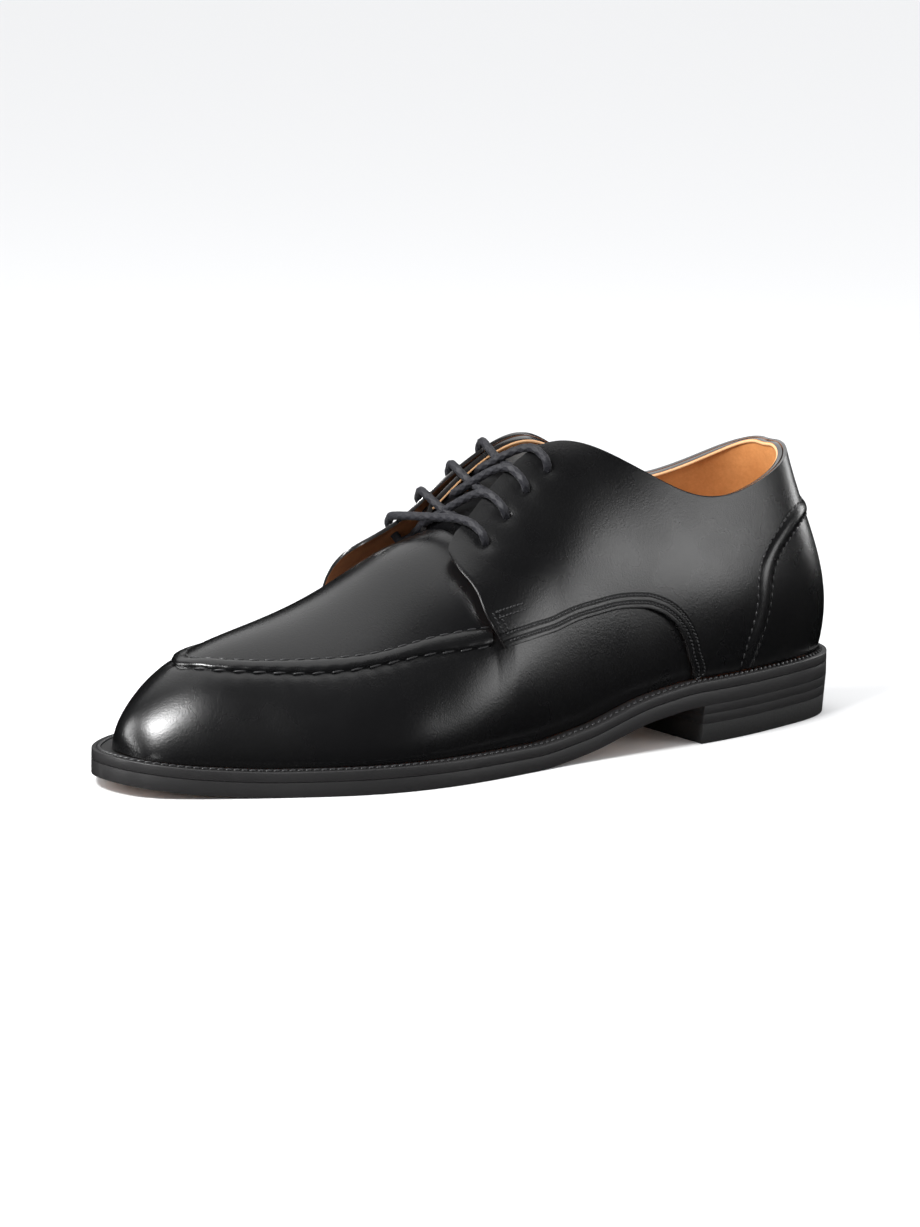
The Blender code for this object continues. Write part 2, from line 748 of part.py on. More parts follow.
def tongue_section(station):
    """Line through the tongue's middle from edge to edge, under both facings."""
    closed = station >= THROAT_END
    heights = np.array(TONGUE_HEIGHTS) * (FACING_SHARE if closed else 1.0)
    depth = -(WALL + TONGUE_GAP + TONGUE_THICKNESS / 2)
    lateral = upper_point(np.full(3, station), heights, LATERAL, closed, depth)
    medial = upper_point(np.full(3, station), heights, MEDIAL, closed, depth)
    if closed:
        top = upper_point(np.array([station]), np.array([1.0]), MEDIAL, True, depth)[0]
    else:
        top = (lateral[-1] + medial[-1]) / 2 + np.array([0.0, 0.0, TONGUE_CROWN])
    knots = np.array([-3.0, -2.0, -1.0, 0.0, 1.0, 2.0, 3.0])
    known = np.concatenate([lateral, [top], medial[::-1]])
    fine = np.linspace(-3.0, 3.0, 9)
    return np.stack([spline(knots, known[:, axis], fine) for axis in range(3)], -1)


def tongue_points():
    sections = [tongue_section(station) for station in TONGUE_STATIONS]
    last = sections[-1]
    middle = last[len(last) // 2]
    for back, up, width in TONGUE_END_ROWS:
        sections.append(middle + (last - middle) * width + np.array([-back, 0.0, up]))
    return np.array(sections)


def make_tongue():
    return shell("tongue", tongue_points(), TONGUE_THICKNESS, "calf_black")


# Lace and eyelets

def over_quarter(station, height, side, clear):
    """Centre of a lace lying clear of the quarter's outside."""
    lift = PANEL_GAP + PANEL_THICKNESS + LACE_CLEARANCE + LACE_DIAMETER / 2 + clear
    ahead = smooth_step((station - FLAP_START) / (FLAP_END - FLAP_START))
    station = np.array([station])
    return upper_point(station, np.array([height]), side, False, lift + FLAP_LIFT * ahead)[0]


def over_tongue(station, share, clear):
    """Centre of a lace in the gap between the facings, share -1 to 1 across the tongue."""
    section = tongue_section(station)
    order = np.linspace(-1.0, 1.0, len(section))
    place = np.array([np.interp(share, order, section[:, axis]) for axis in range(3)])
    rise = TONGUE_THICKNESS / 2 + LACE_CLEARANCE + LACE_DIAMETER / 2 + clear
    lean = math.radians(THROAT_SLOPE)
    return place + rise * np.array([math.sin(lean), 0.0, math.cos(lean)])


def eyelet(row, side):
    return EYELET[side_name(side)][row], EYELET["height"][row]


def half_lace(row, side):
    """From over the facing's edge to the eyelet, arched clear of the leather."""
    station, height = eyelet(row, side)
    return [
        over_quarter(station, LACE_LIP, side, LACE_LIP_RISE),
        over_quarter(station, (LACE_LIP + height) / 2, side, LACE_ARCH),
        over_quarter(station, height, side, 0.0),
    ]


def strand_route(row, side):
    """From under the other facing, over the tongue and this facing, to the eyelet."""
    start, _ = eyelet(row - 1, -side)
    end, _ = eyelet(row, side)
    under = start + (end - start) * LACE_UNDER_SHARE
    return [
        over_tongue(under, -side * LACE_UNDER_SIDE, 0.0),
        over_tongue((start + end) / 2, 0.0, LACE_CROSS_RISE),
    ] + half_lace(row, side)


def lace_tube(name, route):
    """Round tube along a smooth line through the route, as a mesh."""
    rows = np.arange(len(route), dtype=float)
    fine = np.linspace(0.0, rows[-1], 2 * (len(route) - 1) + 1)
    line = np.stack([spline(rows, np.array(route)[:, axis], fine) for axis in range(3)], -1)
    placed = to_metres(line)
    curve = bpy.data.curves.new(name, "CURVE")
    curve.dimensions = "3D"
    curve.bevel_depth = LACE_DIAMETER / 2 * MM
    curve.bevel_resolution = 2
    curve.use_fill_caps = True
    path = curve.splines.new("POLY")
    path.points.add(len(placed) - 1)
    for point, place in zip(path.points, placed):
        point.co = (*place, 1.0)
    guide = bpy.data.objects.new(name, curve)
    bpy.context.scene.collection.objects.link(guide)
    graph = bpy.context.evaluated_depsgraph_get()
    mesh = bpy.data.meshes.new_from_object(guide.evaluated_get(graph))
    mesh.name = name
    bpy.data.objects.remove(guide, do_unlink=True)
    bm = bmesh.new()
    bm.from_mesh(mesh)
    bmesh.ops.remove_doubles(bm, verts=bm.verts, dist=0.00001)
    bmesh.ops.recalc_face_normals(bm, faces=bm.faces)
    bm.to_mesh(mesh)
    bm.free()
    mesh.shade_smooth()
    mesh.set_sharp_from_angle(angle=math.radians(SHARP_ANGLE))
    return mesh


def hide_cutter(cutter):
    cutter.hide_render = True
    cutter.display_type = "WIRE"
    bpy.data.collections[CUTTERS].objects.link(cutter)


def make_laces():
    first = half_lace(0, LATERAL)
    middle = (EYELET["lateral"][0] + EYELET["medial"][0]) / 2
    across = [over_tongue(middle, 0.0, LACE_BAR_RISE)]
    bar = first[::-1] + across + half_lace(0, MEDIAL)
    new_object("lace_bar", lace_tube("lace_bar", bar), "lace_black")
    for row in range(1, len(EYELET_ROWS)):
        name = "lace_cross_" + str(row)
        under = lace_tube(name + "_under", strand_route(row, MEDIAL))
        cross = new_object(name, lace_tube(name, strand_route(row, LATERAL)), "lace_black")
        other = bpy.data.objects.new(name + "_under", under)
        hide_cutter(other)
        join = cross.modifiers.new("Join", "BOOLEAN")
        join.operation = "UNION"
        join.solver = "EXACT"
        join.object = other


def cut_eyelets(side, pieces):
    """Round holes through the facing and the wall behind it."""
    bm = bmesh.new()
    for row in range(len(EYELET_ROWS)):
        station, height = eyelet(row, side)
        at = np.array([station]), np.array([height])
        low = Vector(to_metres(upper_point(*at, side, False, EYELET_REACH[0]))[0])
        high = Vector(to_metres(upper_point(*at, side, False, EYELET_REACH[1]))[0])
        axis = high - low
        turned = axis.to_track_quat("Z", "Y").to_matrix().to_4x4()
        place = Matrix.Translation((low + high) / 2) @ turned
        radius = EYELET_DIAMETER / 2 * MM
        bmesh.ops.create_cone(bm, cap_ends=True, segments=10, radius1=radius, radius2=radius,
                              depth=axis.length, matrix=place)
    name = "eyelet_cutter_" + side_name(side)
    mesh = bpy.data.meshes.new(name)
    bm.to_mesh(mesh)
    bm.free()
    cutter = bpy.data.objects.new(name, mesh)
    hide_cutter(cutter)
    for piece in pieces:
        hole = piece.modifiers.new("Eyelets " + side_name(side), "BOOLEAN")
        hole.operation = "DIFFERENCE"
        hole.solver = "EXACT"
        hole.object = cutter


def build():
    for old in list(bpy.data.objects):
        bpy.data.objects.remove(old, do_unlink=True)
    for name in (COLLECTION, CUTTERS):
        bpy.context.scene.collection.children.link(bpy.data.collections.new(name))
    make_outsole()
    make_welt()
    make_heel()
    make_insole()
    upper = make_upper()
    cut_eyelets(LATERAL, (upper, make_quarter(LATERAL)))
    cut_eyelets(MEDIAL, (upper, make_quarter(MEDIAL)))
    make_counter()
    make_apron_seam()
    make_counter_seam()
    make_tongue()
    make_laces()


build()
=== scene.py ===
import math

import bmesh
import bpy
import numpy as np
from mathutils import Matrix, Vector


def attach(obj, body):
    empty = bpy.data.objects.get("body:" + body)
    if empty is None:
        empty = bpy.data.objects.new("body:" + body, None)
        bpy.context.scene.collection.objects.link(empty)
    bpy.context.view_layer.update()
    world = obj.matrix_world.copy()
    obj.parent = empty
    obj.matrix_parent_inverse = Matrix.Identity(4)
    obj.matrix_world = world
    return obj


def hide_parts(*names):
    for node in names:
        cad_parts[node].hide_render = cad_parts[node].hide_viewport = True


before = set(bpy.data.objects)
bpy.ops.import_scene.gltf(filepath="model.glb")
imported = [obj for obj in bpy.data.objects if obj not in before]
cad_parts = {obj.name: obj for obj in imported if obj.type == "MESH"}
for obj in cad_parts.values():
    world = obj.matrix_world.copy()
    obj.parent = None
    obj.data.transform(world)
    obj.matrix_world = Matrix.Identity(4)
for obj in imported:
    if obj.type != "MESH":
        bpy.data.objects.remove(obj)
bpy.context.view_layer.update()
print("frame loaded:", len(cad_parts), "nodes")

# The shoe is a left one: toe along -X, lateral side at -Y, floor at z = 0.
# A place on the last is a station (0 back of the heel, 1 tip of the toe) and a height
# (0 at the welt, 1 at the crest of that half section). Sizes are in millimetres and angles in
# degrees where no note says otherwise. Points run from the heel to the toe until toMetres
# brings them into the frame.
mm = 0.001
lateral = -1
medial = 1

lastSizes = {
    "soleLength": 303.2,
    "sideShift": -0.4,
    "toeDrift": 2.0,
    "toeDriftStart": 0.60,
    "outsole": 5.0,
    "welt": 3.3,
    "weltReach": 4.0,
    "gap": 0.3,
    "wall": 1.7,
    "panelGap": 0.45,
    "panel": 1.3,
    "panelFoot": 0.010,
    "throatStart": 0.555,
    "throatEnd": 0.575,
    "facingShare": 0.82,
    "flapStart": 0.48,
    "flapEnd": 0.585,
    "flapLift": 1.9,
    "sidewaysStart": 0.5,
    "sidewaysSpan": 0.2,
}

lastTables = {
    "sole": (("station", "lateral", "medial"), (
        (0.00, 0.0, 0.0),
        (0.02, 16.5, 16.5),
        (0.06, 25.5, 26.5),
        (0.12, 32.0, 33.0),
        (0.20, 38.5, 35.5),
        (0.30, 42.5, 34.0),
        (0.40, 44.0, 31.5),
        (0.50, 47.0, 36.0),
        (0.60, 51.8, 46.5),
        (0.68, 53.0, 52.5),
        (0.76, 49.3, 53.0),
        (0.84, 40.0, 48.0),
        (0.91, 30.6, 38.3),
        (0.96, 22.9, 23.7),
        (0.99, 13.9, 10.8),
        (1.00, 0.0, 0.0),
    )),
    "underside": (("station", "height"), (
        (0.000, 14.0),
        (0.269, 13.7),
        (0.341, 11.2),
        (0.448, 2.8),
        (0.525, 0.0),
        (0.680, 0.0),
        (0.840, 0.0),
        (0.920, 1.3),
        (1.000, 4.4),
    )),
    "foot": (("station", "inLateral", "inMedial", "leanLateral", "leanMedial", "hold"), (
        (0.00, 5.3, 5.3, 14, 14, 30),
        (0.08, 5.3, 5.3, 14, 14, 29),
        (0.16, 5.5, 5.3, 13, 13, 28),
        (0.26, 5.8, 5.0, 12, 9, 26),
        (0.36, 6.0, 5.0, 14, 6, 24),
        (0.44, 6.0, 5.5, 18, 6, 24),
        (0.50, 6.0, 5.8, 20, 10, 24),
        (0.58, 5.8, 5.8, 22, 15, 22),
        (0.66, 5.5, 5.5, 22, 17, 17),
        (0.74, 5.5, 5.5, 20, 18, 14),
        (0.82, 6.0, 6.0, 16, 16, 12),
        (0.90, 6.5, 6.5, 12, 12, 10),
        (0.96, 6.8, 6.8, 8, 8, 6),
        (1.00, 7.0, 7.0, 0, 0, 0),
    )),
    "collar": (("station", "fromHeel", "lateral", "medial", "highLateral", "highMedial",
                "slope", "hold"), (
        (0.00, 23.5, 0.0, 0.0, 98.5, 98.5, 74, 30),
        (0.03, 24.3, 8.5, 8.5, 98.0, 98.3, 74, 30),
        (0.08, 31.0, 16.8, 16.8, 94.0, 94.6, 74, 28),
        (0.16, 51.0, 23.5, 23.0, 87.0, 87.3, 74, 26),
        (0.26, 78.0, 26.0, 25.0, 86.5, 87.0, 70, 24),
        (0.36, 105.0, 20.5, 20.5, 99.6, 100.0, 60, 24),
        (0.44, 128.5, 11.5, 12.0, 106.2, 105.4, 38, 26),
        (0.50, 146.5, 9.5, 11.0, 96.8, 98.2, 30, 26),
        (0.55, 160.5, 11.0, 14.0, 83.5, 85.5, 27, 25),
        (0.58, 170.0, 12.5, 17.0, 75.5, 76.5, 24, 24),
        (0.64, 190.0, 15.0, 21.0, 66.0, 67.5, 20, 24),
    )),
    "vamp": (("station", "fromHeel", "shift", "high", "hold"), (
        (0.56, 164.0, 1.5, 79.5, 30.0),
        (0.60, 177.0, 2.5, 74.3, 30.0),
        (0.66, 198.0, 3.0, 64.8, 27.0),
        (0.74, 222.5, 3.5, 54.6, 25.0),
        (0.82, 247.0, 3.7, 48.4, 21.5),
        (0.90, 269.5, 3.2, 41.3, 16.5),
        (0.96, 286.5, 2.5, 30.5, 9.0),
        (1.00, 296.5, 2.0, 17.5, 0.0),
    )),
    "arch": (("station", "height"), (
        (0.272, 0.000),
        (0.277, 0.063),
        (0.284, 0.110),
        (0.291, 0.185),
        (0.302, 0.264),
        (0.315, 0.322),
        (0.330, 0.360),
        (0.356, 0.389),
        (0.395, 0.397),
        (0.435, 0.393),
        (0.482, 0.393),
        (0.525, 0.412),
        (0.570, 0.439),
        (0.640, 0.460),
    )),
    "flap": (("share", "lateral", "medial"), (
        (0.00, 0.569, 0.612),
        (0.15, 0.579, 0.624),
        (0.30, 0.586, 0.631),
        (0.45, 0.588, 0.632),
        (0.60, 0.591, 0.629),
        (0.75, 0.594, 0.622),
        (0.88, 0.593, 0.610),
        (0.96, 0.587, 0.594),
        (1.00, 0.577, 0.580),
    )),
    "apron": (("outStation", "outHeight", "inStation", "inHeight"), (
        (0.582, 0.425, 0.579, 0.488),
        (0.602, 0.438, 0.598, 0.505),
        (0.628, 0.462, 0.622, 0.523),
        (0.662, 0.494, 0.655, 0.548),
        (0.714, 0.523, 0.705, 0.575),
        (0.756, 0.548, 0.745, 0.609),
        (0.798, 0.584, 0.785, 0.652),
        (0.836, 0.640, 0.822, 0.700),
        (0.862, 0.690, 0.846, 0.745),
        (0.884, 0.755, 0.866, 0.803),
        (0.899, 0.835, 0.880, 0.868),
        (0.909, 0.917, 0.891, 0.935),
        (0.913, 1.000, 0.895, 1.000),
    )),
    "counter": (("upStation", "upHeight", "lowStation", "lowHeight"), (
        (0.000, 0.742, 0.000, 0.668),
        (0.025, 0.752, 0.025, 0.676),
        (0.060, 0.770, 0.055, 0.688),
        (0.095, 0.768, 0.085, 0.675),
        (0.134, 0.707, 0.118, 0.625),
        (0.158, 0.630, 0.140, 0.545),
        (0.172, 0.530, 0.150, 0.440),
        (0.177, 0.400, 0.154, 0.340),
        (0.181, 0.290, 0.160, 0.240),
        (0.188, 0.190, 0.167, 0.150),
        (0.194, 0.096, 0.172, 0.080),
        (0.198, 0.022, 0.176, 0.022),
    )),
    "eyelet": (("lateral", "medial", "height"), (
        (0.560, 0.578, 0.855),
        (0.526, 0.546, 0.862),
        (0.493, 0.510, 0.874),
        (0.461, 0.470, 0.893),
    )),
}
tables = {name: dict(zip(heads, np.array(rows, dtype=float).T))
          for name, (heads, rows) in lastTables.items()}


# The last, as functions of station and height

def spline(knots, values, at, flatEnds=False):
    count = len(knots)
    steps = np.diff(knots)
    slopes = np.diff(values) / steps
    system = np.zeros((count, count))
    target = np.zeros(count)
    for i in range(1, count - 1):
        system[i, i - 1] = steps[i - 1]
        system[i, i] = 2 * (steps[i - 1] + steps[i])
        system[i, i + 1] = steps[i]
        target[i] = 6 * (slopes[i] - slopes[i - 1])
    system[0, 0] = system[-1, -1] = 1.0
    if flatEnds:
        system[0, :2] = 2 * steps[0], steps[0]
        system[-1, -2:] = steps[-1], 2 * steps[-1]
        target[0] = 6 * slopes[0]
        target[-1] = -6 * slopes[-1]
    bends = np.linalg.solve(system, target)
    at = np.asarray(at, dtype=float)
    cell = np.clip(np.searchsorted(knots, at) - 1, 0, count - 2)
    width = steps[cell]
    right = (at - knots[cell]) / width
    left = 1 - right
    bend = (left ** 3 - left) * bends[cell] + (right ** 3 - right) * bends[cell + 1]
    return left * values[cell] + right * values[cell + 1] + bend * width ** 2 / 6


def steady(knots, values, at):  # never overshoots a row
    steps = np.diff(knots)
    slopes = np.diff(values) / steps
    sameWay = slopes[:-1] * slopes[1:] > 0
    safe = np.where(sameWay, slopes[:-1] + slopes[1:], 1.0)
    inner = np.where(sameWay, 2 * slopes[:-1] * slopes[1:] / safe, 0.0)
    tangents = np.concatenate([[slopes[0]], inner, [slopes[-1]]])
    at = np.clip(np.asarray(at, dtype=float), knots[0], knots[-1])
    cell = np.clip(np.searchsorted(knots, at) - 1, 0, len(knots) - 2)
    width = steps[cell]
    t = (at - knots[cell]) / width
    rise = values[cell + 1] - values[cell]
    bulge = (1 - t) * (tangents[cell] * width - rise) - t * (tangents[cell + 1] * width - rise)
    return values[cell] + t * rise + t * (1 - t) * bulge


def turn(station):  # station as a share of the half turn, which rounds both ends
    return np.arccos(1 - 2 * np.clip(station, 0.0, 1.0)) / math.pi


def stationOf(turned):
    return (1 - np.cos(math.pi * np.clip(turned, 0.0, 1.0))) / 2


def lookup(table, column, station, flatEnds=True):
    return spline(turn(table["station"]), table[column], turn(station), flatEnds)


def sideName(side):
    return "lateral" if side == lateral else "medial"


def smoothStep(value):
    value = np.clip(value, 0.0, 1.0)
    return value * value * (3 - 2 * value)


def soleEdge(station, side):
    station = np.asarray(station, dtype=float)
    half = np.clip(lookup(tables["sole"], sideName(side), station, flatEnds=False), 0.0, None)
    start = lastSizes["toeDriftStart"]
    ahead = np.clip((station - start) / (1 - start), 0.0, 1.0)
    return station * lastSizes["soleLength"], side * half + lastSizes["toeDrift"] * ahead ** 1.5


def edgeNormal(station, side):
    reach = 0.001
    turned = turn(station)
    x0, y0 = soleEdge(stationOf(turned - reach), side)
    x1, y1 = soleEdge(stationOf(turned + reach), side)
    length = np.hypot(x1 - x0, y1 - y0)
    nx = -side * (y1 - y0) / length
    ny = side * (x1 - x0) / length
    atEnd = (turned <= 0.0) | (turned >= 1.0)
    return np.where(atEnd, np.sign(nx), nx), np.where(atEnd, 0.0, ny)


def insetEdge(station, side, distance):
    x, y = soleEdge(station, side)
    nx, ny = edgeNormal(station, side)
    return x - nx * distance, y - ny * distance


def underside(station):
    return steady(tables["underside"]["station"], tables["underside"]["height"], station)


def weltTop(station):
    return underside(station) + lastSizes["outsole"] + lastSizes["gap"] + lastSizes["welt"]


def crest(station, side, closed):
    if closed:
        table = tables["vamp"]
        return (lookup(table, "fromHeel", station), lookup(table, "shift", station),
                lookup(table, "high", station, False), np.zeros_like(station),
                lookup(table, "hold", station, False))
    table = tables["collar"]
    name = sideName(side)
    return (lookup(table, "fromHeel", station), side * lookup(table, name, station, False),
            lookup(table, "high" + name.capitalize(), station),
            np.radians(lookup(table, "slope", station)), lookup(table, "hold", station))


def lastSurface(station, height, side, closed):
    station, height = np.broadcast_arrays(np.asarray(station, float), np.asarray(height, float))
    name = sideName(side).capitalize()
    footX, footY = insetEdge(station, side, lookup(tables["foot"], "in" + name, station))
    footZ = weltTop(footX / lastSizes["soleLength"]) + lastSizes["gap"]
    nx, ny = edgeNormal(station, side)
    across = smoothStep((station - lastSizes["sidewaysStart"]) / lastSizes["sidewaysSpan"])
    outX = nx * (1 - across)
    outY = ny * (1 - across) + side * across
    length = np.hypot(outX, outY)
    outX = outX / length
    outY = outY / length
    lean = np.radians(lookup(tables["foot"], "lean" + name, station))
    hold = lookup(tables["foot"], "hold", station, False)
    crestX, crestY, crestZ, slope, crestHold = crest(station, side, closed)
    foot = np.stack([footX, footY, footZ], -1)
    top = np.stack([crestX, crestY, crestZ], -1)
    rise = np.stack([outX * np.sin(lean), outY * np.sin(lean), np.cos(lean)], -1)
    fall = np.stack([outX * np.cos(slope), outY * np.cos(slope), -np.sin(slope)], -1)
    lowPull = foot + rise * hold[..., None]
    highPull = top + fall * crestHold[..., None]
    v = height[..., None]
    return (foot * (1 - v) ** 3 + 3 * lowPull * v * (1 - v) ** 2
            + 3 * highPull * v * v * (1 - v) + top * v ** 3)


def surfaceFrame(station, height, side, closed):  # point, normal, and its run per turn and per height
    station, height = np.broadcast_arrays(np.asarray(station, float), np.asarray(height, float))
    reach = 0.002
    turned = np.clip(turn(station), reach, 1 - reach)
    level = np.clip(height, reach, 1 - reach)
    alongRun = (lastSurface(stationOf(turned + reach), level, side, closed)
                - lastSurface(stationOf(turned - reach), level, side, closed)) / (2 * reach)
    upRun = (lastSurface(stationOf(turned), level + reach, side, closed)
             - lastSurface(stationOf(turned), level - reach, side, closed)) / (2 * reach)
    normal = side * np.cross(upRun, alongRun)
    onMiddle = (station <= 0.0) | (station >= 1.0)
    if closed:
        onMiddle = onMiddle | (height >= 1.0)
    normal[..., 1] = np.where(onMiddle, 0.0, normal[..., 1])
    normal = normal / np.linalg.norm(normal, axis=-1, keepdims=True)
    return lastSurface(station, height, side, closed), normal, alongRun, upRun


def upperPoint(station, height, side, closed, lift):
    point, normal, _, _ = surfaceFrame(station, height, side, closed)
    lift = np.broadcast_to(np.asarray(lift, float), normal.shape[:-1])
    return point + normal * lift[..., None]


def toMetres(points):
    points = np.asarray(points, dtype=float)
    placed = points * mm
    placed[..., 0] = (lastSizes["soleLength"] / 2 - points[..., 0]) * mm
    placed[..., 1] = (points[..., 1] + lastSizes["sideShift"]) * mm
    return placed


def spread(count, first=0.0, last=1.0):
    return stationOf(np.linspace(turn(first), turn(last), count))


def nearest(points, line):  # distance from each point to a fine line of points
    flat = np.asarray(points).reshape(-1, 3)
    best = np.full(len(flat), 1e9)
    for start in range(0, len(line), 64):
        part = line[start:start + 64]
        apart = np.linalg.norm(flat[:, None] - part[None], axis=-1).min(1)
        best = np.minimum(best, apart)
    return best.reshape(np.asarray(points).shape[:-1])


# Lines that run over the last

def arcLength(points):
    return np.concatenate([[0.0], np.cumsum(np.linalg.norm(np.diff(points, axis=0), axis=1))])


def evenLine(turned, level, side, closed, steps):  # the same line in even steps, as turns and heights
    length = arcLength(lastSurface(stationOf(turned), level, side, closed))
    even = np.linspace(0.0, length[-1], steps)
    return np.interp(even, length, turned), np.interp(even, length, level)


def offsetLine(turned, level, side, closed, distance):
    # the same line moved sideways over the leather, positive to the left of its run seen from outside
    for _ in range(2):  # in two halves, so that the second follows the bent leather
        point, normal, alongRun, upRun = surfaceFrame(stationOf(turned), level, side, closed)
        run = np.gradient(point, axis=0)
        run /= np.linalg.norm(run, axis=1, keepdims=True)
        across = np.cross(normal, run) * distance / 2
        aa = (alongRun * alongRun).sum(1)
        ab = (alongRun * upRun).sum(1)
        bb = (upRun * upRun).sum(1)
        ca = (across * alongRun).sum(1)
        cb = (across * upRun).sum(1)
        det = aa * bb - ab * ab
        turned = turned + (ca * bb - cb * ab) / det
        level = level + (cb * aa - ca * ab) / det
    return turned, level


# Meshes

weldDistance = 0.00002  # in metres
sliverLength = 0.000005  # in metres
insideAxis = Vector((0.0, 0.0, 0.025))  # runs along the inside of the shoe, in metres


def newPiece(name, bm, materials, slotName, replaced=()):
    mesh = bpy.data.meshes.new(name)
    bm.to_mesh(mesh)
    bm.free()
    for material in materials:
        mesh.materials.append(material)
    mesh.shade_smooth()
    piece = bpy.data.objects.new(name, mesh)
    bpy.context.scene.collection.objects.link(piece)
    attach(piece, "root")
    if replaced:
        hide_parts(*replaced)
    return piece


def applyModifiers(piece):
    graph = bpy.context.evaluated_depsgraph_get()
    mesh = bpy.data.meshes.new_from_object(piece.evaluated_get(graph))
    mesh.name = piece.name
    piece.modifiers.clear()
    piece.data = mesh


def gridSheet(points, keep=None, marks=None):
    # a grid bent to a table of points. marks are values kept on its vertices by name
    rows, across = points.shape[:2]
    placed = toMetres(points)
    bm = bmesh.new()
    bmesh.ops.create_grid(bm, x_segments=rows - 1, y_segments=across - 1, size=1.0)
    for name in marks or {}:
        bm.verts.layers.float.new(name)
    cells = {}
    for vert in bm.verts:
        i = round((vert.co.x + 1) / 2 * (rows - 1))
        j = round((vert.co.y + 1) / 2 * (across - 1))
        cells[vert] = (i, j)
    for name, values in (marks or {}).items():
        layer = bm.verts.layers.float[name]
        for vert in bm.verts:
            vert[layer] = float(values[cells[vert]])
    if keep is not None:
        spare = [f for f in bm.faces if not all(keep[cells[v]] for v in f.verts)]
        bmesh.ops.delete(bm, geom=spare, context="FACES")
    for vert in bm.verts:
        vert.co = placed[cells[vert]]
    bmesh.ops.remove_doubles(bm, verts=bm.verts, dist=weldDistance)
    bmesh.ops.dissolve_degenerate(bm, edges=bm.edges, dist=sliverLength)
    bmesh.ops.recalc_face_normals(bm, faces=bm.faces)
    outward = 0.0
    for face in bm.faces:
        away = face.calc_center_median() - insideAxis
        away.x = 0.0
        outward += face.normal.dot(away) * face.calc_area()
    if outward < 0:
        bmesh.ops.reverse_faces(bm, faces=bm.faces)
    return bm


def faceOutward(bm):
    if bm.calc_volume(signed=True) < 0:
        bmesh.ops.reverse_faces(bm, faces=bm.faces)


def closedRings(rings):  # closed solid through rings of points
    loops = np.asarray(rings, dtype=float)
    bm = gridSheet(np.concatenate([loops, loops[:, :1]], axis=1))
    openEdges = [e for e in bm.edges if e.is_boundary]
    if openEdges:
        bmesh.ops.holes_fill(bm, edges=openEdges)
    bmesh.ops.recalc_face_normals(bm, faces=bm.faces)
    faceOutward(bm)
    return bm


def thicken(piece, thickness, offset, cutter=None, edge=None, inside=0, rim=0):
    # wall, holes and rounded edges, all applied
    wall = piece.modifiers.new("Wall", "SOLIDIFY")
    wall.thickness = thickness * mm
    wall.offset = offset
    wall.use_even_offset = True
    wall.use_rim = True
    wall.material_offset = inside
    wall.material_offset_rim = rim
    if cutter:
        hole = piece.modifiers.new("Holes", "BOOLEAN")
        hole.operation = "DIFFERENCE"
        hole.solver = "EXACT"
        hole.object = cutter
    if edge:
        roundEdges(piece, edge)
    applyModifiers(piece)


def roundEdges(piece, width, angle=50.0):
    bevel = piece.modifiers.new("Edges", "BEVEL")
    bevel.affect = "EDGES"
    bevel.width = width * mm
    bevel.segments = 2
    bevel.profile = 0.5
    bevel.limit_method = "ANGLE"
    bevel.angle_limit = math.radians(angle)
    bevel.material = -1
    bevel.use_clamp_overlap = True
    bevel.harden_normals = False


# Materials

def newMaterial(name, finish):  # finish holds constant values by the shader's socket names
    material = bpy.data.materials.new(name)
    material.use_nodes = True
    tree = material.node_tree
    shader = tree.nodes["Principled BSDF"]
    for socket, value in finish.items():
        shader.inputs[socket].default_value = value
    return material, tree, shader


def addNode(tree, kind, **values):
    node = tree.nodes.new(kind)
    for key, value in values.items():
        setattr(node, key, value)
    return node


def objectNoise(tree, scale, detail=4.0, roughness=0.5, stretch=(1.0, 1.0, 1.0), distortion=0.0):
    place = addNode(tree, "ShaderNodeTexCoord")
    mapping = addNode(tree, "ShaderNodeMapping")
    mapping.inputs["Scale"].default_value = stretch
    noise = addNode(tree, "ShaderNodeTexNoise")
    noise.inputs["Scale"].default_value = scale
    noise.inputs["Detail"].default_value = detail
    noise.inputs["Roughness"].default_value = roughness
    noise.inputs["Distortion"].default_value = distortion
    tree.links.new(place.outputs["Object"], mapping.inputs["Vector"])
    tree.links.new(mapping.outputs["Vector"], noise.inputs["Vector"])
    return noise.outputs["Fac"]


def objectCells(tree, scale):
    place = addNode(tree, "ShaderNodeTexCoord")
    cells = addNode(tree, "ShaderNodeTexVoronoi")
    cells.inputs["Scale"].default_value = scale
    tree.links.new(place.outputs["Object"], cells.inputs["Vector"])
    return cells.outputs["Distance"]


def remap(tree, value, low, high, toLow, toHigh):
    node = addNode(tree, "ShaderNodeMapRange")
    node.inputs["From Min"].default_value = low
    node.inputs["From Max"].default_value = high
    node.inputs["To Min"].default_value = toLow
    node.inputs["To Max"].default_value = toHigh
    tree.links.new(value, node.inputs["Value"])
    return node.outputs["Result"]


def mathNode(tree, operation, first, second=None):
    node = addNode(tree, "ShaderNodeMath", operation=operation)
    for socket, value in zip(node.inputs, (first, second)):
        if value is None:
            continue
        if isinstance(value, (int, float)):
            socket.default_value = value
        else:
            tree.links.new(value, socket)
    return node.outputs["Value"]


def mixColours(tree, share, first, second):
    node = addNode(tree, "ShaderNodeMix", data_type="RGBA")
    for socket in node.inputs:
        if socket.name == "A" and socket.type == "RGBA":
            socket.default_value = (*first, 1.0)
        if socket.name == "B" and socket.type == "RGBA":
            socket.default_value = (*second, 1.0)
    tree.links.new(share, node.inputs["Factor"])
    return [s for s in node.outputs if s.type == "RGBA"][0]


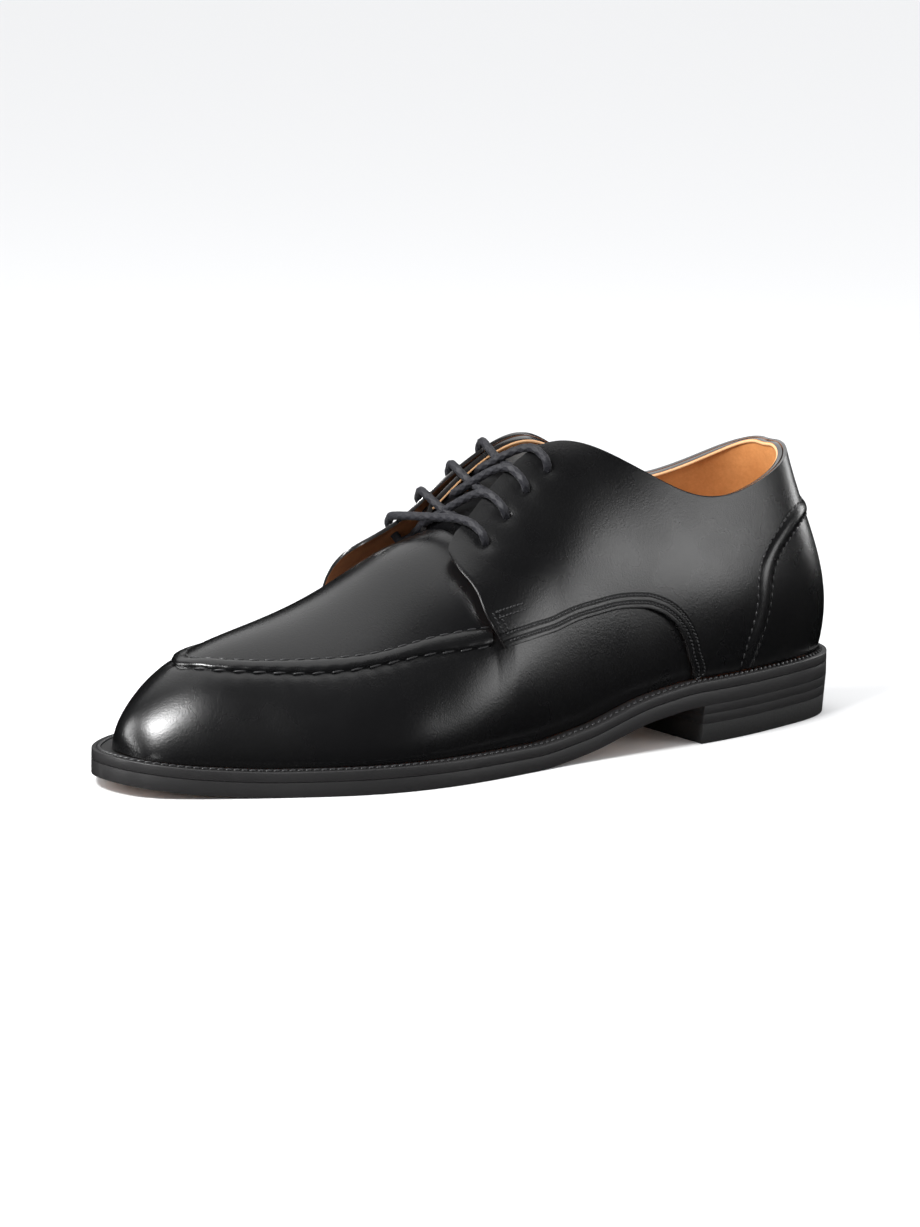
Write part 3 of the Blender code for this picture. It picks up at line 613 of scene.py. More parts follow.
def addBump(tree, shader, heights):
    # heights are (socket, strength, distance in mm), chained from coarse to fine
    normal = None
    for height, strength, distance in heights:
        bump = addNode(tree, "ShaderNodeBump")
        bump.inputs["Strength"].default_value = strength
        bump.inputs["Distance"].default_value = distance * mm
        tree.links.new(height, bump.inputs["Height"])
        if normal is not None:
            tree.links.new(normal, bump.inputs["Normal"])
        normal = bump.outputs["Normal"]
    tree.links.new(normal, shader.inputs["Normal"])


def groove(tree, attribute, place, width):  # 1 away from the line, 0 in its middle
    mark = addNode(tree, "ShaderNodeAttribute", attribute_name=attribute)
    apart = mathNode(tree, "ABSOLUTE", mathNode(tree, "SUBTRACT", mark.outputs["Fac"], place))
    node = addNode(tree, "ShaderNodeMapRange", interpolation_type="SMOOTHSTEP")
    node.inputs["From Min"].default_value = 0.0
    node.inputs["From Max"].default_value = width
    tree.links.new(apart, node.inputs["Value"])
    return node.outputs["Result"]


calfFinish = {
    "Base Color": (0.0034, 0.0034, 0.0037, 1.0),
    "Coat Weight": 0.20,
    "Coat Roughness": 0.24,
    "Specular IOR Level": 0.48,
}
tongueFinish = {**calfFinish, "Coat Weight": 0.0, "Specular IOR Level": 0.28}  # softer and duller
calfLook = {  # textures are scale, bump strength and depth in mm
    "roughness": (0.24, 0.32),
    "patchScale": 38.0,
    "grain": (1350.0, 0.75, 0.095),
    "pores": (2300.0, 0.25, 0.05),
    "wrinkle": (420.0, 0.10, 0.12),
}


def makeCalf(name, finish=calfFinish, grooves=()):
    # black smooth calf: fine grain and pores under a thin finish
    material, tree, shader = newMaterial(name, finish)
    look = calfLook
    patches = objectNoise(tree, look["patchScale"], 3.0, 0.55)
    tree.links.new(remap(tree, patches, 0.3, 0.7, *look["roughness"]), shader.inputs["Roughness"])
    grain = objectNoise(tree, look["grain"][0], 3.0, 0.6)
    pores = objectCells(tree, look["pores"][0])
    wrinkle = objectNoise(tree, look["wrinkle"][0], 4.0, 0.55, distortion=0.4)
    heights = [(wrinkle, *look["wrinkle"][1:]), (grain, *look["grain"][1:]), (pores, *look["pores"][1:])]
    for attribute, place, width, depth in grooves:
        heights.insert(0, (groove(tree, attribute, place, width), 1.0, depth))
    addBump(tree, shader, heights)
    return material


edgeInkFinish = {
    "Base Color": (0.012, 0.011, 0.011, 1.0),
    "Roughness": 0.26,
    "Coat Weight": 1.0,
    "Coat IOR": 1.7,
    "Coat Roughness": 0.18,
}


def makeEdgeInk():  # cut and burnished edge of the calf
    material, tree, shader = newMaterial("edgeInk", edgeInkFinish)
    addBump(tree, shader, [(objectNoise(tree, 1800.0, 2.0), 0.2, 0.03)])
    return material


liningFinish = {"Roughness": 0.58, "Specular IOR Level": 0.35}
liningTones = {  # light and dark patches of each leather
    "liningTan": ((0.64, 0.285, 0.098), (0.47, 0.19, 0.058)),
    # the lining tan made darker and browner: painted shade for the flaps' undersides
    "shadedFacingLining": ((0.40, 0.155, 0.062), (0.27, 0.098, 0.040)),
    "liningEdge": ((0.74, 0.45, 0.24), (0.60, 0.33, 0.15)),
    "sockTan": ((0.58, 0.29, 0.12), (0.44, 0.20, 0.075)),
}


def makeLining(name):
    material, tree, shader = newMaterial(name, liningFinish)
    light, dark = liningTones[name]
    shade = objectNoise(tree, 55.0, 5.0, 0.6)
    fine = objectNoise(tree, 900.0, 3.0, 0.6)
    both = mathNode(tree, "ADD", mathNode(tree, "MULTIPLY", shade, 0.7),
                    mathNode(tree, "MULTIPLY", fine, 0.3))
    colour = mixColours(tree, remap(tree, both, 0.35, 0.65, 0.0, 1.0), dark, light)
    tree.links.new(colour, shader.inputs["Base Color"])
    pores = objectCells(tree, 1500.0)
    addBump(tree, shader, [(shade, 0.15, 0.3), (fine, 0.25, 0.05), (pores, 0.15, 0.03)])
    return material


soleEdgeFinish = {"Base Color": (0.0135, 0.0130, 0.0134, 1.0), "Coat Weight": 0.12, "Coat Roughness": 0.35}


def makeSoleEdge():
    # black inked leather edge: layers pressed along it, waxed to a satin
    material, tree, shader = newMaterial("soleEdgeInk", soleEdgeFinish)
    patches = objectNoise(tree, 60.0, 4.0, 0.6)
    tree.links.new(remap(tree, patches, 0.3, 0.7, 0.40, 0.54), shader.inputs["Roughness"])
    layers = objectNoise(tree, 120.0, 4.0, 0.6, stretch=(1.0, 1.0, 14.0))
    fine = objectNoise(tree, 1400.0, 3.0, 0.6)
    addBump(tree, shader, [(layers, 0.22, 0.14), (fine, 0.25, 0.05)])
    return material


soleLeatherFinish = {"Roughness": 0.50}
soleLeatherLook = {
    "tan": ((0.27, 0.128, 0.054), (0.33, 0.162, 0.071)),
    "ink": (0.018, 0.017, 0.017, 1.0),
    "inkReach": (3.2, 4.6),
    "channel": (6.0, 0.6),
}


def makeSoleLeather():
    # tread side: tan leather, inked black along its edge
    look = soleLeatherLook
    material, tree, shader = newMaterial("soleLeather", soleLeatherFinish)
    mark = addNode(tree, "ShaderNodeAttribute", attribute_name="edgeGap")
    shade = objectNoise(tree, 45.0, 5.0, 0.6)
    uneven = mathNode(tree, "ADD", mark.outputs["Fac"], mathNode(tree, "MULTIPLY", shade, 2.0))
    tan = mixColours(tree, remap(tree, shade, 0.35, 0.65, 0.0, 1.0), *look["tan"])
    blend = addNode(tree, "ShaderNodeMix", data_type="RGBA")
    sockets = [s for s in blend.inputs if s.type == "RGBA"]
    sockets[0].default_value = look["ink"]
    tree.links.new(tan, sockets[1])
    tree.links.new(remap(tree, uneven, *look["inkReach"], 0.0, 1.0), blend.inputs["Factor"])
    tree.links.new([s for s in blend.outputs if s.type == "RGBA"][0], shader.inputs["Base Color"])
    channel = groove(tree, "edgeGap", *look["channel"])
    fine = objectNoise(tree, 900.0, 4.0, 0.6)
    addBump(tree, shader, [(channel, 0.8, 0.35), (fine, 0.3, 0.06)])
    return material


threadFinish = {
    "Base Color": (0.014, 0.014, 0.015, 1.0),
    "Roughness": 0.42,
    "Coat Weight": 0.2,
    "Coat Roughness": 0.3,
}


def makeThread():
    material, tree, shader = newMaterial("threadBlack", threadFinish)
    addBump(tree, shader, [(objectNoise(tree, 3500.0, 2.0), 0.5, 0.05)])
    return material


laceFinish = {"Roughness": 0.62, "Sheen Weight": 0.05, "Sheen Roughness": 0.4}
laceTones = ((0.0045, 0.0045, 0.0065), (0.017, 0.017, 0.023))


def makeLace():
    # round braided cotton with a little wax
    material, tree, shader = newMaterial("laceCotton", laceFinish)
    fibre = objectNoise(tree, 2600.0, 3.0, 0.7)
    colour = mixColours(tree, remap(tree, fibre, 0.3, 0.7, 0.0, 1.0), *laceTones)
    tree.links.new(colour, shader.inputs["Base Color"])
    addBump(tree, shader, [(fibre, 0.5, 0.08)])
    return material


rubberFinish = {"Base Color": (0.0125, 0.0125, 0.0125, 1.0)}


def makeRubber():
    material, tree, shader = newMaterial("liftRubber", rubberFinish)
    speckle = objectNoise(tree, 1200.0, 4.0, 0.6)
    tree.links.new(remap(tree, speckle, 0.3, 0.7, 0.5, 0.68), shader.inputs["Roughness"])
    addBump(tree, shader, [(speckle, 0.3, 0.06)])
    return material


# the quarter's two rows of stitches: distance from its edge, and the groove they lie in, in mm
quarterRows = {"first": 2.0, "second": 4.6, "width": 0.95, "depth": 0.32}

vampCalf = makeCalf("vampCalf")
quarterCalf = makeCalf("quarterCalf", grooves=[
    ("rowGap", quarterRows["first"], quarterRows["width"], quarterRows["depth"]),
    ("rowGap", quarterRows["second"], quarterRows["width"], quarterRows["depth"]),
])
counterCalf = makeCalf("counterCalf")
seamCalf = makeCalf("seamCalf")
tongueCalf = makeCalf("tongueCalf", tongueFinish)
edgeInk = makeEdgeInk()
lining = makeLining("liningTan")
# darker copy of the lining tan, painted shade under the flaps
shadedFacingLining = makeLining("shadedFacingLining")
liningEdge = makeLining("liningEdge")
sockLeather = makeLining("sockTan")
soleEdgeInk = makeSoleEdge()
soleLeather = makeSoleLeather()
threadBlack = makeThread()
laceCotton = makeLace()
liftRubber = makeRubber()
print("materials made:", len(bpy.data.materials))


# Stitches

lieAlong = Matrix.Rotation(math.pi / 2, 4, "Y")  # lays a bead's poles along the row


def addStitches(bm, points, normals, look):
    # one long bead for each stitch between two holes of the row
    for k in range(len(points) - 1):
        start = Vector(points[k])
        end = Vector(points[k + 1])
        out = Vector(normals[k]) + Vector(normals[k + 1])
        out.normalize()
        along = end - start
        length = along.length * look["fill"]
        along.normalize()
        side = out.cross(along).normalized()
        slant = math.radians(look["slant"])
        run = along * math.cos(slant) + side * math.sin(slant)
        across = out.cross(run).normalized()
        middle = (start + end) / 2 + out * look["rise"] * mm
        shape = Matrix((run * length / 2, across * look["width"] / 2 * mm,
                        out * look["thick"] / 2 * mm)).transposed().to_4x4()
        place = Matrix.Translation(middle) @ shape
        bmesh.ops.create_uvsphere(bm, u_segments=look["sides"], v_segments=4, radius=1.0,
                                  matrix=place @ lieAlong)


def stitchRow(bm, turned, level, side, closed, lift, look, first=0.0, last=None):
    # paces the row out over the leather and sews it
    length = arcLength(lastSurface(stationOf(turned), level, side, closed))
    end = length[-1] if last is None else last
    count = max(2, round((end - first) / look["pitch"]) + 1)
    even = np.linspace(first, end, count)
    u = np.interp(even, length, turned)
    v = np.interp(even, length, level)
    rise = lift(stationOf(u), v) if callable(lift) else np.full(count, lift)
    point, normal, _, _ = surfaceFrame(stationOf(u), v, side, closed)
    placed = toMetres(point + normal * rise[:, None])
    flipped = normal * np.array([-1.0, 1.0, 1.0])
    addStitches(bm, placed, flipped, look)
    return count - 1


# Upper: vamp, lining and facings in one wall

apronLook = {
    "ringsPerSide": 300,
    "profile": (  # share of the way from the lower to the upper stitch line, and rise in mm
        (-0.12, -0.50),
        (-0.04, -0.15),
        (0.00, -0.02),
        (0.03, 0.30),
        (0.08, 0.72),
        (0.16, 0.98),
        (0.30, 1.08),
        (0.48, 1.05),
        (0.66, 0.92),
        (0.80, 0.72),
        (0.90, 0.44),
        (0.96, 0.16),
        (1.00, -0.04),
        (1.04, -0.14),
        (1.10, -0.50),
    ),
    "lowerPitch": 6.5,
    "upperPitch": 5.3,
    "pucker": 0.26,
    "puckerReach": 2.6,
    "puckerShare": 0.20,
    "tuck": 0.24,
    "tuckReach": 1.6,
    "skin": 0.5,
}
toeLook = {"tip": (296.5, 1.7, 19.0), "centre": (276.0, 1.7, 18.0), "reach": 15.0, "blur": 3.2}
wallLook = {
    "rearStations": 120,
    "frontStations": 170,
    "sideRows": 50,
    "middleRows": 14,
    "edge": 0.35,
}
liningEdgeLook = {"steps": 220, "height": 0.992, "sink": 0.20, "width": 0.90, "tall": 1.10, "sides": 10}
# soft troughs and ridges of the vamp: station, height, run along and across in mm, depth
vampCreases = (
    (lateral, 0.645, 0.27, 7.0, 13.0, -0.14),
    (lateral, 0.690, 0.24, 7.0, 12.0, 0.10),
    (lateral, 0.728, 0.20, 7.0, 11.0, -0.12),
    (medial, 0.650, 0.27, 7.0, 13.0, -0.15),
    (medial, 0.692, 0.24, 7.0, 12.0, 0.10),
    (medial, 0.735, 0.20, 7.0, 11.0, -0.12),
)


def seamPath(table, names, side, closed, share):
    # line between a seam's two stitch lines, as turns and heights
    first, second = names
    rows = np.arange(len(table[first + "Station"]), dtype=float)
    fine = np.linspace(0.0, rows[-1], apronLook["ringsPerSide"])
    turned = [spline(rows, turn(table[n + "Station"]), fine) for n in (first, second)]
    level = [spline(rows, table[n + "Height"], fine) for n in (first, second)]
    u = turned[0] + (turned[1] - turned[0]) * share
    v = np.minimum(level[0] + (level[1] - level[0]) * share, 1.0)
    return u, v


def bothSides(makeRings, middleFirst):  # rings of one side up to the middle, then back along the other
    rings = [makeRings(side) for side in (lateral, medial)]
    if middleFirst:
        return np.concatenate([rings[0][::-1], rings[1][1:]])
    return np.concatenate([rings[0], rings[1][-2::-1]])


def creaseLift(points, side):
    # the listed creases, each a soft trough or ridge that runs up the vamp's side
    total = np.zeros(points.shape[:-1])
    for creaseSide, station, height, along, across, depth in vampCreases:
        if creaseSide != side:
            continue
        middle = lastSurface(station, height, side, True)
        away = points - middle
        total += depth * np.exp(-(away[..., 0] / along) ** 2
                                - ((away[..., 1] ** 2 + away[..., 2] ** 2) / across ** 2))
    return total


def vampLift(station, height, side):
    # creases, and the leather drawn in at each stitch of the apron's lower row
    points = lastSurface(station, height, side, True)
    u, v = seamPath(tables["apron"], ("out", "in"), side, True, 0.0)
    line = lastSurface(stationOf(u), v, side, True)
    along = arcLength(line)
    flat = points.reshape(-1, 3)
    lift = creaseLift(points, side).reshape(-1)
    near = np.where(nearest(flat, line) < 4 * apronLook["puckerReach"])[0]
    for k in near:
        apart = np.linalg.norm(line - flat[k], axis=1)
        best = apart.argmin()
        wave = 0.5 + 0.5 * math.cos(2 * math.pi * along[best] / apronLook["lowerPitch"])
        fade = math.exp(-apart[best] / apronLook["puckerReach"])
        lift[k] -= apronLook["pucker"] * wave * fade
        lift[k] -= apronLook["tuck"] * math.exp(-(apart[best] / apronLook["tuckReach"]) ** 2)
    return lift.reshape(points.shape[:-1])


def softenToe(points):
    # both halves meet in a faint ridge at the toe, so the skin there is averaged in and out
    look = toeLook
    centre, tip = np.array(look["centre"]), np.array(look["tip"])
    area = np.linalg.norm(np.cross(np.gradient(points, axis=0), np.gradient(points, axis=1)), axis=-1)
    apart = np.linalg.norm(points - tip, axis=-1)
    wide = apart < look["reach"] + 3 * look["blur"]
    mine = np.argwhere(apart < look["reach"])
    cloud, weights = points[wide], area[wide]
    moved = points.copy()
    for i, j in mine:
        place = points[i, j]
        share = weights * np.exp(-((cloud - place) ** 2).sum(1) / look["blur"] ** 2)
        mean = (cloud * share[:, None]).sum(0) / share.sum()
        out = (place - centre) / np.linalg.norm(place - centre)
        fade = smoothStep(1 - apart[i, j] / look["reach"])
        moved[i, j] = place + out * ((mean - place) @ out) * fade
    return moved


def makeWall(cutters):
    rear = spread(wallLook["rearStations"], 0.0, lastSizes["throatStart"])
    front = spread(wallLook["frontStations"], lastSizes["throatEnd"], 1.0)
    sideHeights = np.linspace(0.0, 1.0, wallLook["sideRows"])
    middleHeights = np.linspace(lastSizes["facingShare"], 1.0, wallLook["middleRows"])
    closedHeights = np.concatenate([sideHeights * lastSizes["facingShare"], middleHeights[1:]])
    outer = len(sideHeights)
    half = len(closedHeights)
    across = 2 * half - 1
    points = np.zeros((len(rear) + len(front), across, 3))
    keep = np.ones(points.shape[:2], dtype=bool)
    keep[:len(rear), outer:across - outer] = False
    rearGrid = np.meshgrid(rear, sideHeights, indexing="ij")
    frontGrid = np.meshgrid(front, closedHeights, indexing="ij")
    for side in (lateral, medial):
        opened = upperPoint(rearGrid[0], rearGrid[1], side, False, 0.0)
        closed = upperPoint(frontGrid[0], frontGrid[1], side, True, vampLift(*frontGrid, side))
        if side == lateral:
            points[:len(rear), :outer] = opened
            points[len(rear):, :half] = closed
        else:
            points[:len(rear), across - outer:] = opened[:, ::-1]
            points[len(rear):, half - 1:] = closed[:, ::-1]
    points[len(rear):] = softenToe(points[len(rear):])
    bm = gridSheet(points, keep)
    piece = newPiece("upper_wall", bm, (vampCalf, lining, edgeInk), "calf", ("upper",))
    thicken(piece, lastSizes["wall"], -1.0, cutters, wallLook["edge"], inside=1, rim=2)


def makeLiningEdge():
    # the lining's cut edge shows as a fine pale line inside the folded topline
    look = liningEdgeLook
    stations = spread(look["steps"], 0.0, lastSizes["throatStart"])
    lines = []
    for side in (lateral, medial):
        line = upperPoint(stations, look["height"], side, False, -lastSizes["wall"] - look["sink"])
        lines.append(line[::-1] if side == lateral else line[1:])
    line = np.concatenate(lines)
    run = np.gradient(line, axis=0)
    run /= np.linalg.norm(run, axis=1, keepdims=True)
    side = np.cross(run, [0.0, 0.0, 1.0])
    side /= np.linalg.norm(side, axis=1, keepdims=True)
    up = np.cross(side, run)
    angle = np.linspace(0.0, 2 * math.pi, look["sides"], endpoint=False)
    rings = (line[:, None] + np.cos(angle)[None, :, None] * side[:, None] * look["width"] / 2
             + np.sin(angle)[None, :, None] * up[:, None] * look["tall"] / 2)
    newPiece("lining_edge", closedRings(rings), (liningEdge,), "lining")


def sewLine(name, rows, look):
    # rows are (turns, heights, side, closed, lift, first, last)
    bm = bmesh.new()
    total = 0
    for row in rows:
        total += stitchRow(bm, *row[:5], look, *row[5:])
    newPiece(name, bm, (threadBlack,), "calf")
    print(name, total, "stitches")


def seamBand(name, table, names, closed, base, look, material, replaced):
    # raised band between two stitch lines, its edges sunk into the leather
    shares = np.array([s for s, _ in look["profile"]])
    rises = np.array([r for _, r in look["profile"]])

    def rings(side):
        lines = [seamPath(table, names, side, closed, s) for s in shares]
        u = np.stack([line[0] for line in lines], 1)
        v = np.stack([line[1] for line in lines], 1)
        surface = lastSurface(stationOf(u), v, side, closed)
        along = arcLength(surface[:, 0])
        wave = 0.5 + 0.5 * np.cos(2 * math.pi * along / look["lowerPitch"])
        fade = np.exp(-(shares / look["puckerShare"]) ** 2)
        lift = base + rises[None] - look["pucker"] * wave[:, None] * fade[None]
        return upperPoint(stationOf(u), v, side, closed, lift)

    bm = gridSheet(bothSides(rings, not closed))
    piece = newPiece(name, bm, (material,), "calf", replaced)
    thicken(piece, look["skin"], -1.0)


apronThread = {"pitch": apronLook["upperPitch"], "fill": 0.72, "width": 0.80, "thick": 0.75,
               "rise": 0.14, "slant": 0.0, "sides": 7}
apronLowThread = {"pitch": apronLook["lowerPitch"], "fill": 0.76, "width": 0.90, "thick": 0.85,
                  "rise": 0.12, "slant": 7.0, "sides": 7}


def sewApron():
    for name, share, look, sink in (("apron_upper_stitches", 1.0, apronThread, 0.0),
                                    ("apron_lower_stitches", 0.0, apronLowThread, -0.12)):
        rows = []
        for side in (lateral, medial):
            u, v = seamPath(tables["apron"], ("out", "in"), side, True, share)
            rows.append((u, v, side, True, sink))
        sewLine(name, rows, look)


# Quarters and counter

quarterLook = {
    "stations": 190,
    "heights": 64,
    "edge": 0.55,
    "edgeSteps": 400,
    "lowCrowding": 0.4,
    "footRun": (0.5, 12.0),
    "dimple": 0.55,
    "dimpleReach": 3.2,
    "barRows": (2.2, 4.4),
    "barHeight": (10.4, 12.6),
    "barLength": 12.0,
    "cornerClear": 2.2,
    "drawnShare": (0.0, 0.1, 0.2, 0.3, 0.45, 0.6, 0.75),
    "drawn": {"lateral": (2.5, 2.2, 1.7, 1.2, 0.5, 0.1, 0.0),
              "medial": (3.9, 3.6, 3.0, 2.2, 1.0, 0.3, 0.0)},
}
quarterThread = {"pitch": 1.55, "fill": 0.88, "width": 0.72, "thick": 0.62, "rise": 0.06,
                 "slant": 20.0, "sides": 6}
counterLook = {
    "ringsPerSide": 260,
    "profile": (
        (-0.16, -0.45),
        (-0.06, -0.10),
        (0.00, 0.00),
        (0.08, 0.32),
        (0.20, 0.75),
        (0.36, 1.02),
        (0.52, 1.08),
        (0.68, 0.98),
        (0.82, 0.66),
        (0.93, 0.26),
        (1.00, 0.00),
        (1.06, -0.10),
        (1.16, -0.45),
    ),
    "lowerPitch": 3.0,
    "pucker": 0.10,
    "puckerShare": 0.14,
    "skin": 0.5,
    "stations": 90,
    "heights": 44,
    "edge": 0.3,
    "threadLift": 0.02,
}
counterThread = {"pitch": 3.0, "fill": 0.74, "width": 0.80, "thick": 0.7, "rise": 0.10,
                 "slant": 8.0, "sides": 7}
panelJoint = {"station": 0.0022, "height": 0.010, "foot": 0.0015, "backSeam": 0.0015}


def counterEdge(shift):
    table = tables["counter"]
    rows = np.arange(len(table["upStation"]), dtype=float)
    fine = np.linspace(0.0, rows[-1], 240)
    station = stationOf((spline(rows, turn(table["upStation"]), fine)
                         + spline(rows, turn(table["lowStation"]), fine)) / 2)
    height = (spline(rows, table["upHeight"], fine) + spline(rows, table["lowHeight"], fine)) / 2
    station = np.maximum.accumulate(station + shift * panelJoint["station"])
    return station, height + shift * panelJoint["height"]


def quarterFloor(station):
    edgeStation, edgeHeight = counterEdge(1.0)
    edgeStation = np.append(edgeStation, edgeStation[-1] + panelJoint["foot"])
    edgeHeight = np.append(edgeHeight, 0.0)
    back = np.interp(station, edgeStation, edgeHeight)
    arch = steady(tables["arch"]["station"], tables["arch"]["height"], station)
    floor = np.where(station < tables["arch"]["station"][0], 0.0, arch)
    return np.maximum(np.where(station < edgeStation[-1], back, floor), lastSizes["panelFoot"])


def flapFront(share, side):
    return spline(tables["flap"]["share"], tables["flap"][sideName(side)], share)


def quarterAhead(station, level, side):  # 0 behind the flap, 1 at its front edge
    floor = quarterFloor(station)
    share = np.clip((level - floor) / (1 - floor), 0.0, 1.0)
    start = lastSizes["flapStart"]
    return np.clip((station - start) / (flapFront(share, side) - start), 0.0, 1.0)


def quarterOutside(station, level, side):  # rise of the quarter's outside over the wall
    ahead = quarterAhead(station, level, side)
    floor = quarterFloor(station)
    share = np.clip((level - floor) / (1 - floor), 0.0, 1.0)
    # the flap's corner is drawn in toward the vamp by its bar of stitches
    drawn = np.interp(share, quarterLook["drawnShare"], quarterLook["drawn"][sideName(side)])
    return (lastSizes["panelGap"] + lastSizes["panel"]
            + lastSizes["flapLift"] * smoothStep(ahead) - drawn * ahead ** 2)


def quarterStations():
    # stations that keep the lower edge's steps even where it is steep
    start = stationOf(panelJoint["backSeam"])
    fine = np.linspace(start, lastSizes["flapEnd"], 1200)
    edge = lastSurface(fine, quarterFloor(fine), lateral, False)
    top = lastSurface(fine, np.ones_like(fine), lateral, False)
    pace = arcLength(edge) / arcLength(edge)[-1] + arcLength(top) / arcLength(top)[-1]
    even = np.interp(np.linspace(0.0, pace[-1], quarterLook["stations"]), pace, fine)
    foot = tables["arch"]["station"][0]
    even[np.abs(even - foot).argmin()] = foot
    return even


def makeQuarter(side, cutter):
    stations = quarterStations()
    even = np.linspace(0.0, 1.0, quarterLook["heights"])
    shares = even + (smoothStep(even) - even) * quarterLook["lowCrowding"]
    base, share = np.meshgrid(stations, shares, indexing="ij")
    ahead = np.clip((base - lastSizes["flapStart"])
                    / (lastSizes["flapEnd"] - lastSizes["flapStart"]), 0.0, None)
    along = base + (flapFront(share, side) - lastSizes["flapEnd"]) * ahead
    floor = quarterFloor(along)
    level = floor + (1 - floor) * share
    lift = quarterOutside(along, level, side)
    surface = lastSurface(along, level, side, False)
    for row in range(len(tables["eyelet"]["height"])):
        hole = lastSurface(*eyelet(row, side), side, False)
        apart = np.linalg.norm(surface - hole, axis=-1)
        lift -= quarterLook["dimple"] * np.exp(-(apart / quarterLook["dimpleReach"]) ** 2)
    points = upperPoint(along, level, side, False, lift)
    archLine = archEdge(side, quarterLook["edgeSteps"])
    edge = lastSurface(stationOf(archLine[0]), archLine[1], side, False)
    low, high = quarterLook["footRun"]  # the rows run on straight down past the welt
    foot = edge[0] - np.linspace(high, low, 24)[:, None] * np.array([0.0, 0.0, 1.0])
    marks = {"rowGap": nearest(surface, np.concatenate([foot, edge]))}
    bm = gridSheet(points, None, marks)
    name = "quarter_" + sideName(side)
    # the panel's inside gets the darker lining tone, painted shade under the flap
    piece = newPiece(name + "_panel", bm, (quarterCalf, shadedFacingLining, edgeInk), "calf", (name,))
    thicken(piece, lastSizes["panel"], -1.0, cutter, quarterLook["edge"], inside=1, rim=2)


def eyelet(row, side):
    return tables["eyelet"][sideName(side)][row], tables["eyelet"]["height"][row]


def archEdge(side, steps):  # lower edge of the quarter, from the welt to the flap's corner
    corner = flapFront(0.0, side)
    stations = np.linspace(tables["arch"]["station"][0], corner, 1500)
    levels = quarterFloor(stations)
    return evenLine(turn(stations), levels, side, False, steps)


def flapEdge(side, steps):  # front edge, from the corner up to the facing
    shares = np.linspace(0.0, 1.0, 300)
    stations = flapFront(shares, side)
    floor = quarterFloor(stations)
    return evenLine(turn(stations), floor + (1 - floor) * shares, side, False, steps)


def sewQuarter(side):
    # two rows along the arched edge, turned up at the corner and back in a bar
    rows = []

    def lift(station, level):
        return quarterOutside(station, level, side)
    inward = -side
    u, v = archEdge(side, quarterLook["edgeSteps"])
    cornerClear = quarterLook["cornerClear"]
    for place in (quarterRows["first"], quarterRows["second"]):
        line = offsetLine(u, v, side, False, inward * place)
        whole = arcLength(lastSurface(stationOf(line[0]), line[1], side, False))[-1]
        rows.append((*line, side, False, lift, 1.0, whole - cornerClear))
    for place in quarterLook["barHeight"]:
        line = offsetLine(u, v, side, False, inward * place)
        whole = arcLength(lastSurface(stationOf(line[0]), line[1], side, False))[-1]
        rows.append((*line, side, False, lift, whole - quarterLook["barLength"] - cornerClear,
                     whole - cornerClear))
    u, v = flapEdge(side, quarterLook["edgeSteps"])
    for place in quarterLook["barRows"]:
        line = offsetLine(u, v, side, False, inward * place)
        rows.append((*line, side, False, lift, quarterRows["second"], quarterLook["barHeight"][1]))
    sewLine("quarter_stitches_" + sideName(side), rows, quarterThread)


def makeCounter():
    edgeStation, edgeHeight = counterEdge(-1.0)
    half = spread(counterLook["stations"], 0.0, edgeStation[-1])
    shares = np.linspace(0.0, 1.0, counterLook["heights"])
    lift = lastSizes["panelGap"] + lastSizes["panel"]

    def rows(side):
        station, share = np.meshgrid(half, shares, indexing="ij")
        top = np.interp(station, edgeStation, edgeHeight)
        level = lastSizes["panelFoot"] + (top - lastSizes["panelFoot"]) * share
        return upperPoint(station, level, side, False, lift)
    points = np.concatenate([rows(lateral)[::-1], rows(medial)[1:]])
    bm = gridSheet(points)
    piece = newPiece("counter_panel", bm, (counterCalf, edgeInk), "calf", ("heel_counter",))
    thicken(piece, lastSizes["panel"], -1.0, None, counterLook["edge"], inside=1, rim=1)


def sewCounter():
    base = lastSizes["panelGap"] + lastSizes["panel"] + counterLook["threadLift"]
    rows = []
    for side in (lateral, medial):
        for share in (0.0, 1.0):
            u, v = seamPath(tables["counter"], ("low", "up"), side, False, share)
            rows.append((u, v, side, False, base))
    sewLine("counter_stitches", rows, counterThread)


eyeletLook = {"hole": 3.2, "sides": 20, "below": -4.0, "above": 7.0}


def eyeletCutters():
    bm = bmesh.new()
    radius = eyeletLook["hole"] / 2 * mm
    for side in (lateral, medial):
        for row in range(len(tables["eyelet"]["height"])):
            station, height = eyelet(row, side)
            low = Vector(toMetres(upperPoint(station, height, side, False, eyeletLook["below"])))
            high = Vector(toMetres(upperPoint(station, height, side, False, eyeletLook["above"])))
            axis = high - low
            place = (Matrix.Translation((low + high) / 2)
                     @ axis.to_track_quat("Z", "Y").to_matrix().to_4x4())
            bmesh.ops.create_cone(bm, cap_ends=True, segments=eyeletLook["sides"], radius1=radius,
                                  radius2=radius, depth=axis.length, matrix=place)
    mesh = bpy.data.meshes.new("eyeletCutters")
    bm.to_mesh(mesh)
    bm.free()
    cutter = bpy.data.objects.new("eyeletCutters", mesh)
    bpy.context.scene.collection.objects.link(cutter)
    return cutter


# Tongue

tongueLook = {
    "thickness": 2.2,
    "gap": 1.4,
    "crown": 0.2,
    "heights": (0.80, 0.88, 0.96),
    "stations": (0.600, 0.587, 0.575, 0.555, 0.535, 0.515, 0.495, 0.475, 0.457, 0.440),
    "end": (  # back, up and share of the width, past the facings
        (4.5, 0.6, 0.94),
        (9.0, 1.0, 0.86),
        (13.5, 0.9, 0.75),
        (17.5, 0.2, 0.60),
        (20.5, -0.8, 0.40),
        (22.0, -1.6, 0.16),
    ),
    "rows": 96,
    "across": 56,
    "edge": 0.7,
}


